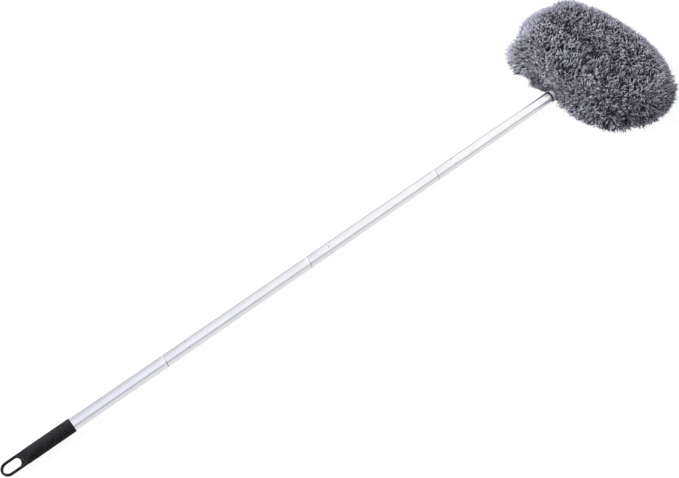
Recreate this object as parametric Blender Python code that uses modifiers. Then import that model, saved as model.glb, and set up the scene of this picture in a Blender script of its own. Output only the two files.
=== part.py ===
"""Ceiling fan duster: a screw-together pole of four tubes, and an oval ring of soft pile on a wire frame.

Metres, +Z up. The duster lies on Z = 0 with its pole along +X, the hanging eye at the low end and the
ring of pile at the high end. The pole's axis is at one grip radius above the floor.
"""

import math
import random

import bmesh
import bpy
from mathutils import Matrix, Vector

# Pole
SECTION_LENGTH = 0.300
SECTION_COUNT = 4
TUBE_RADIUS = 0.011
TUBE_WALL = 0.0007
TUBE_SIDES = 24
BELL_GROWTH = 0.0005
BELL_LENGTH = 0.014

# Running and seating gaps, and the distance under which two corners are one
CLEARANCE = 0.0003
WELD = 0.000001

# Grip and its hanging eye
GRIP_RADIUS = 0.0122
GRIP_LENGTH = 0.126
GRIP_COVER = 0.064
GRIP_SIDES = 28
GRIP_EDGE = 0.0005
EYE_TIP_WALL = 0.004
EYE_LENGTH = 0.030
EYE_WIDTH = 0.018
EYE_CORNER = 0.0045
EYE_STEPS = 12
CORNER_STEPS = 4
TIP_STEPS = 8
TAB_THICKNESS = 0.0064
TAB_LAND = 0.006
TAB_RAMP = 0.011
TAB_EDGE = 0.0011
TAB_EDGE_ANGLE = math.radians(50)

# Rings between the sections, and the black one at the head
RING_THICKNESS = 0.0010
END_RING_THICKNESS = 0.0036

# Male plugs in the upper ends
PLUG_DEPTH = 0.026
STUD_LENGTH = 0.026
STUD_CORE_RADIUS = 0.0072
STUD_CHAMFER = 0.0012
PLUG_BORE_RADIUS = 0.0040
PLUG_SIDES = 18
THREAD_HEIGHT = 0.0011
THREAD_PITCH = 0.0050
THREAD_TURNS = 4
THREAD_STEPS = 9
THREAD_RUNOUT = 0.0020
THREAD_TAPER = (0.3, 0.65)
RIDGE_RADIUS = 0.0010

# Female sockets in the lower ends
SOCKET_LENGTH = 0.052
SOCKET_DEPTH = 0.030
SOCKET_TAIL_RADIUS = 0.0065

# Crimp dents that hold the plugs and sockets in the tubes
DENT_RADIUS = 0.0018
DENT_DEPTH = 0.00045
DENT_SEGMENTS = 7
DENT_RINGS = 5
DENTS_ROUND = 5
SOCKET_DENT_SETBACK = 0.044
PLUG_DENT_SETBACK = 0.010
SEAM_DENT_TURNS = (math.radians(-48.0), math.radians(-9.5), math.radians(-41.0))
HEAD_DENT_TURN = math.radians(-5.0)

# Neck of the head: a socket with a clamp for the wire behind it
NECK_RADIUS = 0.0109
NECK_LENGTH = 0.058
NECK_SOCKET_DEPTH = 0.031
NECK_CLAMP_LENGTH = 0.024
NECK_EDGE = 0.0008
LEG_SPREAD = 0.0052
LEG_SETBACK = 0.0015
GROOVE_SIDES = 12
SCREW_SIDES = 10
SCREW_RADIUS = 0.0013
SCREW_HEAD_RADIUS = 0.0025
SCREW_HEAD_HEIGHT = 0.0018
SCREW_LENGTH = 0.0125
SCREW_SLOT = 0.0007
SCREW_SINK = 0.0012
SCREW_EDGE_DISTANCE = 0.006
SINK_SIDES = 14

# Wire frame and its sheath, an oval with flattened sides, turned a little to one side of the pole
WIRE_RADIUS = 0.0020
WIRE_SIDES = 6
SHEATH_RADIUS = 0.0040
SHEATH_SIDES = 8
LOOP_HALF_LENGTH = 0.112
LOOP_HALF_WIDTH = 0.062
LOOP_POWER = 2.6
LOOP_SETBACK = 0.0075
LOOP_FINE_STEPS = 2880
BEND_STEPS = 7
BEND_LEAN = 1.1
HEAD_TURN = math.radians(6.0)

# Pile: a fabric tube round the sheath, in slices, with its strands
PILE_SLICES = 14
SLICE_SEGMENTS = 3
PILE_START = 0.0170
BACKING_SINK = 0.0005
BACKING_SIDES = 10
STATIONS = 3
STRAND_REACH = 0.062
STRAND_RISE = 0.050
STRAND_ROOT_RADIUS = 0.0021
STRAND_MIDDLE_RADIUS = 0.0040
STRAND_TIP_RADIUS = 0.0021
STRAND_ROOT_DEPTH = 0.0022
STRAND_MIDDLE_SHARE = 0.55
STRAND_ARCH = 0.07
STRAND_FANS = (
    tuple(math.radians(angle) for angle in (-4, 22, 48, 74, 103, 132, 161)),
    tuple(math.radians(angle) for angle in (9, 35, 61, 88, 118, 147, 173)),
)
SLOT_HALF_LENGTH = 0.070
SLOT_HALF_WIDTH = 0.011
SHORTEST_STRAND = 0.88
FAN_JITTER = math.radians(2.0)

# Fabric cuff round the neck
CUFF_START = 0.004
CUFF_END_GAP = 0.0085
CUFF_STATIONS = 4
CUFF_FAN = tuple(math.radians(angle) for angle in (70, 90.7, 111.5))
CUFF_STRAND = 0.050
CUFF_ROOT_DEPTH = 0.0010

SEED = 11

AXIS_HEIGHT = GRIP_RADIUS
TUBE_BORE = TUBE_RADIUS - TUBE_WALL
THREAD_RADIUS = STUD_CORE_RADIUS + THREAD_HEIGHT
POLE_END = SECTION_LENGTH * SECTION_COUNT
NECK_START = POLE_END + END_RING_THICKNESS + 2 * CLEARANCE
NECK_END = NECK_START + NECK_LENGTH
CLAMP_START = NECK_END - NECK_CLAMP_LENGTH
BACKING_RADIUS = (GRIP_RADIUS + BACKING_SINK) / math.cos(math.pi / BACKING_SIDES)
AWAY = Vector((math.cos(HEAD_TURN), math.sin(HEAD_TURN), 0))
SIDE = Vector((-math.sin(HEAD_TURN), math.cos(HEAD_TURN), 0))
UP = Vector((0, 0, 1))

for old in list(bpy.data.objects):
    bpy.data.objects.remove(old, do_unlink=True)

parts = bpy.data.collections.new("ceiling_fan_duster")
cutters = bpy.data.collections.new("cutters")
bpy.context.scene.collection.children.link(parts)
bpy.context.scene.collection.children.link(cutters)


def make_material(name, colour, roughness, metallic=0.0):
    """A plain Principled material."""
    material = bpy.data.materials.new(name)
    material.use_nodes = True
    shader = material.node_tree.nodes["Principled BSDF"]
    shader.inputs["Base Color"].default_value = (*colour, 1)
    shader.inputs["Roughness"].default_value = roughness
    shader.inputs["Metallic"].default_value = metallic
    return material


BLACK_GRIP = make_material("black_grip", (0.03, 0.029, 0.034), 0.6)
SATIN_ALUMINIUM = make_material("satin_aluminium", (0.86, 0.87, 0.9), 0.35, 1.0)
WHITE_NYLON = make_material("white_nylon", (0.8, 0.8, 0.8), 0.5)
BLACK_PLASTIC = make_material("black_plastic", (0.02, 0.02, 0.022), 0.45)
SPRING_STEEL = make_material("spring_steel", (0.55, 0.55, 0.57), 0.3, 1.0)
GREY_SHEATH = make_material("grey_sheath", (0.3, 0.3, 0.32), 0.5)
GREY_PILE = make_material("grey_pile", (0.16, 0.16, 0.19), 0.95)


def seated(radius, sides):
    """The radius of a bore whose flats keep the clearance to a round piece."""
    return (radius + CLEARANCE) / math.cos(math.pi / sides)


def add_object(name, data, material=None):
    """A part's object, or a cutter's where no material is given."""
    obj = bpy.data.objects.new(name, data)
    if material is None:
        cutters.objects.link(obj)
        obj.hide_render = True
        obj.display_type = "WIRE"
    else:
        parts.objects.link(obj)
        data.materials.append(material)
    return obj


def turn(name, profile, sides, material, location, upright=False):
    """A turned piece from (along, radius) points that run down its outer side."""
    closed = profile[0][1] > 0 and profile[-1][1] > 0
    count = len(profile)
    edges = [(i, (i + 1) % count) for i in range(count if closed else count - 1)]
    mesh = bpy.data.meshes.new(name)
    mesh.from_pydata([(radius, 0, along) for along, radius in profile], edges, [])
    obj = add_object(name, mesh, material)
    obj.location = location
    if not upright:
        obj.rotation_euler = (0, math.pi / 2, 0)
    screw = obj.modifiers.new("Turn", "SCREW")
    screw.steps = sides
    screw.render_steps = sides
    screw.use_merge_vertices = True
    screw.merge_threshold = WELD
    return obj


def join_with(obj, other, operation):
    """Adds a Boolean modifier."""
    boolean = obj.modifiers.new(other.name, "BOOLEAN")
    boolean.operation = operation
    boolean.solver = "EXACT"
    boolean.object = other


def carrier(name, along, holder=None):
    """An empty on the pole's axis that carries the pieces which move together."""
    empty = bpy.data.objects.new(name, None)
    parts.objects.link(empty)
    empty.location = (along, 0, AXIS_HEIGHT)
    if holder:
        hold(holder, empty)
    return empty


def hold(holder, *pieces):
    """Parents pieces, and what cuts or joins them, to a carrier without moving them."""
    for piece in pieces:
        piece.parent = holder
        piece.matrix_parent_inverse = Matrix.Translation(holder.location).inverted()
        for modifier in piece.modifiers:
            if modifier.type == "BOOLEAN" and modifier.object.parent is None:
                hold(holder, modifier.object)


def curve_mesh(name, curve, material=None):
    """Turns a curve into a closed mesh object with welded caps."""
    source = bpy.data.objects.new(name + "_curve", curve)
    bpy.context.scene.collection.objects.link(source)
    bpy.context.view_layer.update()
    evaluated = source.evaluated_get(bpy.context.evaluated_depsgraph_get())
    mesh = bpy.data.meshes.new_from_object(evaluated)
    bpy.data.objects.remove(source, do_unlink=True)
    mesh.materials.clear()
    shape = bmesh.new()
    shape.from_mesh(mesh)
    bmesh.ops.remove_doubles(shape, verts=shape.verts, dist=WELD)
    bmesh.ops.recalc_face_normals(shape, faces=shape.faces)
    shape.to_mesh(mesh)
    shape.free()
    mesh.name = name
    return add_object(name, mesh, material)


def path_curve(name, points, radius, sides):
    """A tube along a row of points, as curve data."""
    curve = bpy.data.curves.new(name, "CURVE")
    curve.dimensions = "3D"
    curve.bevel_depth = radius
    curve.bevel_resolution = (sides - 4) // 2
    curve.use_fill_caps = True
    spline = curve.splines.new("POLY")
    spline.points.add(len(points) - 1)
    for place, point in zip(spline.points, points):
        place.co = (*point, 1)
    return curve


def outline_prism(name, outline, thickness):
    """An upright prism from a flat outline, centred on its own plane."""
    curve = bpy.data.curves.new(name, "CURVE")
    curve.dimensions = "2D"
    curve.fill_mode = "BOTH"
    curve.extrude = thickness / 2
    spline = curve.splines.new("POLY")
    spline.points.add(len(outline) - 1)
    for place, (x, y) in zip(spline.points, outline):
        place.co = (x, y, 0, 1)
    spline.use_cyclic_u = True
    return curve_mesh(name, curve)


def block(name, low, high):
    """A cutter box between two corners."""
    mesh = bpy.data.meshes.new(name)
    shape = bmesh.new()
    size = Vector(high) - Vector(low)
    centre = (Vector(high) + Vector(low)) / 2
    bmesh.ops.create_cube(shape, size=1, matrix=Matrix.Translation(centre) @ Matrix.Diagonal((*size, 1)))
    shape.to_mesh(mesh)
    shape.free()
    return add_object(name, mesh)


def cylinder(name, radius, start, end, sides, material=None):
    """A solid cylinder between two points."""
    start, end = Vector(start), Vector(end)
    direction = end - start
    turned = direction.to_track_quat("Z", "Y").to_matrix().to_4x4()
    mesh = bpy.data.meshes.new(name)
    shape = bmesh.new()
    bmesh.ops.create_cone(shape, cap_ends=True, segments=sides, radius1=radius, radius2=radius,
                          depth=direction.length, matrix=Matrix.Translation((start + end) / 2) @ turned)
    shape.to_mesh(mesh)
    shape.free()
    return add_object(name, mesh, material)


def smooth(obj, angle=math.radians(40)):
    """Shades a round piece smooth, with its sharp edges kept."""
    obj.data.shade_smooth()
    obj.data.set_sharp_from_angle(angle=angle)


def arc(centre_x, centre_y, radius, start, end, steps):
    """Points along an arc, both ends included."""
    points = []
    for i in range(steps + 1):
        angle = start + (end - start) * i / steps
        points.append((centre_x + radius * math.cos(angle), centre_y + radius * math.sin(angle)))
    return points


def tube_start(section):
    """Where a section's tube begins: inside the grip, or past the ring of the seam below it."""
    if section == 1:
        return GRIP_LENGTH - GRIP_COVER + CLEARANCE
    return SECTION_LENGTH * (section - 1) + RING_THICKNESS + 2 * CLEARANCE


def flatten_grip(grip):
    """Cuts the grip's tip down to a flat tab, with a ramp up to the round handle."""
    half = TAB_THICKNESS / 2
    land_end = EYE_TIP_WALL + EYE_LENGTH + TAB_LAND
    outside = 2 * GRIP_RADIUS
    for side, name in ((1, "tab_cut_upper"), (-1, "tab_cut_lower")):
        slope = (outside - half) * TAB_RAMP / (GRIP_RADIUS - half)
        outline = [(-outside, side * half), (land_end, side * half), (land_end + slope, side * outside),
                   (-outside, side * outside)]
        cutter = outline_prism(name, outline, 2 * outside)
        cutter.location = (0, 0, AXIS_HEIGHT)
        cutter.rotation_euler = (math.pi / 2, 0, 0)
        join_with(grip, cutter, "DIFFERENCE")


def eye_outline():
    """The hanging eye seen from above: round at the tip, squarer towards the handle."""
    half = EYE_WIDTH / 2
    start = EYE_TIP_WALL
    end = EYE_TIP_WALL + EYE_LENGTH
    outline = arc(start + half, 0, half, math.radians(90), math.radians(270), EYE_STEPS)
    outline += arc(end - EYE_CORNER, -half + EYE_CORNER, EYE_CORNER, math.radians(-90), 0,
                   CORNER_STEPS)
    outline += arc(end - EYE_CORNER, half - EYE_CORNER, EYE_CORNER, 0, math.radians(90),
                   CORNER_STEPS)
    return outline


def make_grip():
    """The black grip: a turned sleeve, blind inside, with a flat tab and an eye at its tip."""
    bore = seated(TUBE_RADIUS, GRIP_SIDES)
    blind = GRIP_LENGTH - GRIP_COVER
    profile = [(blind, 0), (blind, bore), (GRIP_LENGTH, bore), (GRIP_LENGTH, GRIP_RADIUS - GRIP_EDGE),
               (GRIP_LENGTH - GRIP_EDGE, GRIP_RADIUS)]
    tip = [(GRIP_RADIUS - y, x) for x, y in arc(0, 0, GRIP_RADIUS, 0, math.radians(90), TIP_STEPS)]
    profile += [(along, max(radius, 0)) for along, radius in tip[:-1]] + [(0, 0)]
    grip = turn("handle_grip", profile, GRIP_SIDES, BLACK_GRIP, (0, 0, AXIS_HEIGHT))
    flatten_grip(grip)
    eye = outline_prism("eye_cut", eye_outline(), 4 * GRIP_RADIUS)
    eye.location = (0, 0, AXIS_HEIGHT)
    join_with(grip, eye, "DIFFERENCE")
    soften_tab(grip)
    return grip


def soften_tab(grip):
    """Rounds the sharp edges of the tab and its eye."""
    bpy.context.view_layer.update()
    evaluated = grip.evaluated_get(bpy.context.evaluated_depsgraph_get())
    mesh = bpy.data.meshes.new_from_object(evaluated)
    mesh.transform(grip.matrix_world)
    grip.modifiers.clear()
    grip.data = mesh
    grip.matrix_world = Matrix.Identity(4)
    shape = bmesh.new()
    shape.from_mesh(mesh)
    land_end = EYE_TIP_WALL + EYE_LENGTH + TAB_LAND
    weights = shape.edges.layers.float.new("bevel_weight_edge")
    for edge in shape.edges:
        near = all(vert.co.x < land_end - TAB_LAND / 3 for vert in edge.verts)
        if near and edge.is_manifold and edge.calc_face_angle() > TAB_EDGE_ANGLE:
            edge[weights] = 1.0
    shape.to_mesh(mesh)
    shape.free()
    bevel = grip.modifiers.new("Round", "BEVEL")
    bevel.limit_method = "WEIGHT"
    bevel.width = TAB_EDGE
    bevel.segments = 2
    smooth(grip)


def dent_cutter(name, along, first_turn, count, surface_radius):
    """Small balls that press dents into a tube's surface."""
    mesh = bpy.data.meshes.new(name)
    shape = bmesh.new()
    distance = surface_radius + DENT_RADIUS - DENT_DEPTH
    for i in range(count):
        angle = first_turn - i * 2 * math.pi / DENTS_ROUND
        centre = Vector((along, distance * math.sin(angle), AXIS_HEIGHT + distance * math.cos(angle)))
        bmesh.ops.create_uvsphere(shape, u_segments=DENT_SEGMENTS, v_segments=DENT_RINGS,
                                  radius=DENT_RADIUS, matrix=Matrix.Translation(centre))
    shape.to_mesh(mesh)
    shape.free()
    return add_object(name, mesh)


def make_tube(section):
    """One aluminium tube with the dents that crimp it on its plug and socket."""
    start = tube_start(section)
    end = SECTION_LENGTH * section
    length = end - start
    bell = BELL_GROWTH if section == SECTION_COUNT else 0
    profile = [(length, TUBE_RADIUS + bell)]
    if bell:
        profile.append((length - BELL_LENGTH, TUBE_RADIUS))
    profile += [(0, TUBE_RADIUS), (0, TUBE_BORE)]
    if bell:
        profile.append((length - BELL_LENGTH, TUBE_BORE))
    profile.append((length, TUBE_BORE + bell))
    name = "pole_tube_%d" % section
    tube = turn(name, profile, TUBE_SIDES, SATIN_ALUMINIUM, (start, 0, AXIS_HEIGHT))
    if section > 1:
        cutter = dent_cutter(name + "_socket_dents", start + SOCKET_DENT_SETBACK,
                             SEAM_DENT_TURNS[section - 2], DENTS_ROUND, TUBE_RADIUS)
        join_with(tube, cutter, "DIFFERENCE")
    if section == SECTION_COUNT:
        surface = TUBE_RADIUS + BELL_GROWTH * (1 - PLUG_DENT_SETBACK / BELL_LENGTH)
        cutter = dent_cutter(name + "_plug_dents", end - PLUG_DENT_SETBACK, HEAD_DENT_TURN, DENTS_ROUND,
                             surface)
    else:
        under = math.pi + math.pi / DENTS_ROUND
        cutter = dent_cutter(name + "_plug_dents", end - PLUG_DENT_SETBACK, under, 2, TUBE_RADIUS)
    join_with(tube, cutter, "DIFFERENCE")
    smooth(tube)
    return tube


def thread_ridge(name):
    """A right-hand helical ridge, along local Z from the shoulder, that runs out at both ends."""
    count = THREAD_TURNS * THREAD_STEPS
    radius = THREAD_RADIUS - RIDGE_RADIUS
    points = []
    for i in range(count + 1):
        angle = 2 * math.pi * i / THREAD_STEPS
        height = THREAD_RUNOUT + THREAD_PITCH * i / THREAD_STEPS
        points.append((radius * math.cos(angle), radius * math.sin(angle), height))
    curve = path_curve(name, points, RIDGE_RADIUS, 4)
    ends = curve.splines[0].points
    for i, scale in enumerate(THREAD_TAPER):
        ends[i].radius = scale
        ends[-1 - i].radius = scale
    return curve_mesh(name, curve)


def make_plug(section):
    """A hollow moulded plug in a tube's upper end, with a threaded stud beyond it."""
    end = SECTION_LENGTH * section
    seat = TUBE_BORE * math.cos(math.pi / TUBE_SIDES) - CLEARANCE
    profile = [
        (STUD_LENGTH, STUD_CORE_RADIUS - STUD_CHAMFER),
        (STUD_LENGTH - STUD_CHAMFER, STUD_CORE_RADIUS),
        (0, STUD_CORE_RADIUS),
        (0, seat),
        (-PLUG_DEPTH, seat),
        (-PLUG_DEPTH, PLUG_BORE_RADIUS),
        (STUD_LENGTH, PLUG_BORE_RADIUS),
    ]
    name = "threaded_plug_%d" % section
    plug = turn(name, profile, PLUG_SIDES, BLACK_PLASTIC, (end, 0, AXIS_HEIGHT))
    ridge = thread_ridge(name + "_ridge")
    ridge.location = plug.location
    ridge.rotation_euler = (0, math.pi / 2, 0)
    join_with(plug, ridge, "UNION")
    smooth(plug)
    return plug


def make_socket(section):
    """A moulded socket in a tube's lower end, open right through, wide enough to clear the thread."""
    start = tube_start(section)
    seat = TUBE_BORE * math.cos(math.pi / TUBE_SIDES) - CLEARANCE
    mouth = seated(THREAD_RADIUS, PLUG_SIDES)
    profile = [
        (SOCKET_LENGTH, seat),
        (0, seat),
        (0, mouth),
        (SOCKET_DEPTH, mouth),
        (SOCKET_DEPTH, SOCKET_TAIL_RADIUS),
        (SOCKET_LENGTH, SOCKET_TAIL_RADIUS),
    ]
    socket = turn("threaded_socket_%d" % section, profile, PLUG_SIDES, BLACK_PLASTIC,
                  (start, 0, AXIS_HEIGHT))
    smooth(socket)
    return socket


def make_ring(section):
    """The ring that sits on a plug's shoulder, between two tubes or between the pole and the head."""
    last = section == SECTION_COUNT
    thickness = END_RING_THICKNESS if last else RING_THICKNESS
    outer = TUBE_RADIUS + (BELL_GROWTH if last else 0)
    inner = seated(THREAD_RADIUS, PLUG_SIDES)
    profile = [(thickness, outer), (0, outer), (0, inner), (thickness, inner)]
    name = "end_ring" if last else "joint_ring_%d" % section
    ring = turn(name, profile, TUBE_SIDES, BLACK_PLASTIC if last else WHITE_NYLON,
                (SECTION_LENGTH * section + CLEARANCE, 0, AXIS_HEIGHT))
    smooth(ring)
    return ring


def leg_grooves(name):
    """Two round grooves along the clamp, for the legs of the wire."""
    reach = NECK_CLAMP_LENGTH
    made = []
    for side in (-1, 1):
        start = (CLAMP_START + LEG_SETBACK - CLEARANCE, side * LEG_SPREAD, AXIS_HEIGHT)
        end = (NECK_END + reach, side * LEG_SPREAD, AXIS_HEIGHT)
        made.append(cylinder("%s_%d" % (name, side + 1), seated(WIRE_RADIUS, GROOVE_SIDES), start, end,
                             GROOVE_SIDES))
    return made


def screw_places():
    """Where the two clamp screws stand along the pole."""
    return (CLAMP_START + SCREW_EDGE_DISTANCE, NECK_END - SCREW_EDGE_DISTANCE)


def make_neck():
    """The neck, with a blind socket for the pole's last stud, and its clamp's cover and screws."""
    mouth = seated(THREAD_RADIUS, PLUG_SIDES)
    profile = [
        (NECK_LENGTH, 0),
        (NECK_LENGTH, NECK_RADIUS - NECK_EDGE),
        (NECK_LENGTH - NECK_EDGE, NECK_RADIUS),
        (NECK_EDGE, NECK_RADIUS),
        (0, NECK_RADIUS - NECK_EDGE),
        (0, mouth),
        (NECK_SOCKET_DEPTH, mouth),
        (NECK_SOCKET_DEPTH, 0),
    ]
    neck = turn("neck_body", profile, TUBE_SIDES, BLACK_PLASTIC, (NECK_START, 0, AXIS_HEIGHT))
    over = 2 * NECK_RADIUS
    upper = block("clamp_opening", (CLAMP_START, -over, AXIS_HEIGHT - CLEARANCE / 2),
                  (NECK_END + over, over, AXIS_HEIGHT + over))
    join_with(neck, upper, "DIFFERENCE")
    for groove in leg_grooves("neck_groove"):
        join_with(neck, groove, "DIFFERENCE")
    cover = cylinder("neck_cover", NECK_RADIUS, (CLAMP_START + CLEARANCE, 0, AXIS_HEIGHT),
                     (NECK_END, 0, AXIS_HEIGHT), TUBE_SIDES, BLACK_PLASTIC)
    lower = block("cover_split", (CLAMP_START - over, -over, AXIS_HEIGHT - over),
                  (NECK_END + over, over, AXIS_HEIGHT + CLEARANCE / 2))
    join_with(cover, lower, "DIFFERENCE")
    for groove in leg_grooves("cover_groove"):
        join_with(cover, groove, "DIFFERENCE")
    head_seat = AXIS_HEIGHT + NECK_RADIUS - SCREW_SINK - SCREW_HEAD_HEIGHT
    for i, along in enumerate(screw_places()):
        hole = cylinder("screw_hole_%d" % i, seated(SCREW_RADIUS, SCREW_SIDES),
                        (along, 0, head_seat - SCREW_LENGTH - CLEARANCE), (along, 0, head_seat + over),
                        SCREW_SIDES)
        join_with(neck, hole, "DIFFERENCE")
        join_with(cover, hole, "DIFFERENCE")
        sink = cylinder("screw_sink_%d" % i, seated(SCREW_HEAD_RADIUS, SINK_SIDES),
                        (along, 0, head_seat - CLEARANCE), (along, 0, head_seat + over), SINK_SIDES)
        join_with(cover, sink, "DIFFERENCE")
    smooth(neck)
    smooth(cover)
    return [neck, cover] + make_screws(head_seat)


def make_screws(head_seat):
    """The two clamp screws."""
    profile = [
        (SCREW_HEAD_HEIGHT, 0),
        (SCREW_HEAD_HEIGHT, SCREW_HEAD_RADIUS),
        (0, SCREW_HEAD_RADIUS),
        (0, SCREW_RADIUS),
        (-SCREW_LENGTH + SCREW_RADIUS, SCREW_RADIUS),
        (-SCREW_LENGTH, 0),
    ]
    reach = 2 * SCREW_HEAD_RADIUS
    screws = []
    for i, along in enumerate(screw_places()):
        name = "neck_screw_%d" % (i + 1)
        screw = turn(name, profile, SCREW_SIDES, SPRING_STEEL, (along, 0, head_seat), upright=True)
        slot = block(name + "_slot", (along - reach, -SCREW_SLOT / 2, head_seat + SCREW_HEAD_HEIGHT / 2),
                     (along + reach, SCREW_SLOT / 2, head_seat + reach))
        join_with(screw, slot, "DIFFERENCE")
        smooth(screw)
        screws.append(screw)
    return screws


def head_point(side, away):
    """A point of the head's own plane, from the middle of the neck's end."""
    return Vector((NECK_END, 0, AXIS_HEIGHT)) + SIDE * side + AWAY * away


def signed_power(value, power):
    """A power that keeps its value's sign."""
    return math.copysign(abs(value) ** power, value)


def oval(angle):
    """The wire's oval, as (side, away from its own centre), from the middle of its near side."""
    return (LOOP_HALF_LENGTH * signed_power(math.sin(angle), 2 / LOOP_POWER),
            -LOOP_HALF_WIDTH * signed_power(math.cos(angle), 2 / LOOP_POWER))


def loop_points():
    """Evenly spaced points round the oval, from one side of the neck to the other."""
    fine = []
    for i in range(LOOP_FINE_STEPS + 1):
        side, away = oval(2 * math.pi * i / LOOP_FINE_STEPS)
        if away < 0 and abs(side) < PILE_START:
            continue
        fine.append(Vector((side, away, 0)))
    distances = [0.0]
    for before, after in zip(fine, fine[1:]):
        distances.append(distances[-1] + (after - before).length)
    count = PILE_SLICES * SLICE_SEGMENTS
    points = []
    place = 0
    for i in range(count + 1):
        target = distances[-1] * i / count
        while place < len(fine) - 2 and distances[place + 1] < target:
            place += 1
        span = distances[place + 1] - distances[place]
        points.append(fine[place].lerp(fine[place + 1], (target - distances[place]) / span))
    return points


LOOP = loop_points()
LOOP_CENTRE_AWAY = LOOP_SETBACK + LOOP_HALF_WIDTH


def on_loop(point):
    """A point given from the oval's centre, in the row's frame."""
    return head_point(point.x, point.y + LOOP_CENTRE_AWAY)


def bend_points(side, nearest):
    """The smooth bend from the clamp's leg out to the first point of the loop."""
    leg = Vector((NECK_END, side * LEG_SPREAD, AXIS_HEIGHT))
    corner = on_loop(Vector((side * LEG_SPREAD * BEND_LEAN, nearest.y, 0)))
    finish = on_loop(nearest)
    points = []
    for i in range(BEND_STEPS):
        t = i / BEND_STEPS
        points.append(leg * (1 - t) ** 2 + corner * (2 * t * (1 - t)) + finish * t ** 2)
    return points


def make_wire():
    """The wire, from the clamp round the oval and back into the clamp, and its sheath."""
    leg_start = CLAMP_START + LEG_SETBACK
    first = Vector((leg_start, LEG_SPREAD, AXIS_HEIGHT))
    last = Vector((leg_start, -LEG_SPREAD, AXIS_HEIGHT))
    route = [first] + bend_points(1, LOOP[0]) + [on_loop(point) for point in LOOP]
    route += list(reversed(bend_points(-1, LOOP[-1]))) + [last]
    wire = curve_mesh("frame_wire", path_curve("frame_wire", route, WIRE_RADIUS, WIRE_SIDES),
                      SPRING_STEEL)
    smooth(wire, math.radians(65))
    route = [on_loop(point) for point in LOOP]
    sheath = curve_mesh("frame_sheath", path_curve("frame_sheath", route[1:-1], SHEATH_RADIUS,
                                                   SHEATH_SIDES), GREY_SHEATH)
    bore = curve_mesh("sheath_bore", path_curve("sheath_bore", route, seated(WIRE_RADIUS, WIRE_SIDES),
                                                WIRE_SIDES))
    join_with(sheath, bore, "DIFFERENCE")
    smooth(sheath, math.radians(65))
    return [wire, sheath]


def loop_direction(index):
    """The oval's direction at one of its points."""
    before = LOOP[max(index - 1, 0)]
    after = LOOP[min(index + 1, len(LOOP) - 1)]
    return (after - before).normalized()


def strand_section():
    """The three-sided section that every strand follows."""
    curve = bpy.data.curves.new("strand_section", "CURVE")
    spline = curve.splines.new("POLY")
    spline.points.add(2)
    for i, place in enumerate(spline.points):
        angle = 2 * math.pi * i / 3
        place.co = (math.cos(angle), math.sin(angle), 0, 1)
    spline.use_cyclic_u = True
    return add_object("strand_section", curve)


SECTION = strand_section()


def strand_curve(name, strands):
    """Curve data for a group of tapering strands, each a root, a middle and a tip."""
    curve = bpy.data.curves.new(name, "CURVE")
    curve.dimensions = "3D"
    curve.bevel_mode = "OBJECT"
    curve.bevel_object = SECTION
    curve.use_fill_caps = True
    for strand in strands:
        spline = curve.splines.new("POLY")
        spline.points.add(2)
        for place, point, radius in zip(spline.points, strand,
                                        (STRAND_ROOT_RADIUS, STRAND_MIDDLE_RADIUS, STRAND_TIP_RADIUS)):
            place.co = (*point, 1)
            place.radius = radius
    return curve


def fan_strand(centre, outward, inward, reach_in, angle, length_share):
    """One strand: it leaves the backing's centre line at an angle above the outward direction."""
    rises = math.sin(angle)
    level = abs(math.cos(angle))
    sideways = outward if math.cos(angle) > 0 else inward
    reach = STRAND_REACH if math.cos(angle) > 0 else reach_in
    length = length_share / math.hypot(level / reach, rises / STRAND_RISE)
    direction = sideways * level + UP * rises
    root = centre + direction * (BACKING_RADIUS - STRAND_ROOT_DEPTH)
    tip = centre + direction * length
    middle = root.lerp(tip, STRAND_MIDDLE_SHARE) + UP * (STRAND_ARCH * length * level)
    return root, middle, tip


def slice_strands(index, rng):
    """The strands of one slice, in staggered fans that none of their neighbours cross."""
    strands = []
    for station in range(STATIONS):
        share = (station + 0.5) / STATIONS * SLICE_SEGMENTS
        at = index * SLICE_SEGMENTS + int(share)
        point = LOOP[at].lerp(LOOP[at + 1], share - int(share))
        direction = (loop_direction(at) * (1 - share % 1) + loop_direction(at + 1) * (share % 1)).normalized()
        outward = SIDE * direction.y * -1 + AWAY * direction.x
        if Vector((-direction.y, direction.x)).dot(point.xy) < 0:
            outward.negate()
        slot = Vector((point.x * SLOT_HALF_LENGTH / LOOP_HALF_LENGTH,
                       point.y * SLOT_HALF_WIDTH / LOOP_HALF_WIDTH, 0))
        across = on_loop(slot) - on_loop(point)
        centre = on_loop(point)
        fan = STRAND_FANS[(index * STATIONS + station) % 2]
        for angle in fan:
            turned = angle + rng.uniform(-FAN_JITTER, FAN_JITTER)
            share_long = rng.uniform(SHORTEST_STRAND, 1.0)
            strands.append(fan_strand(centre, outward, across.normalized(), across.length, turned,
                                      share_long))
    return strands


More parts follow.
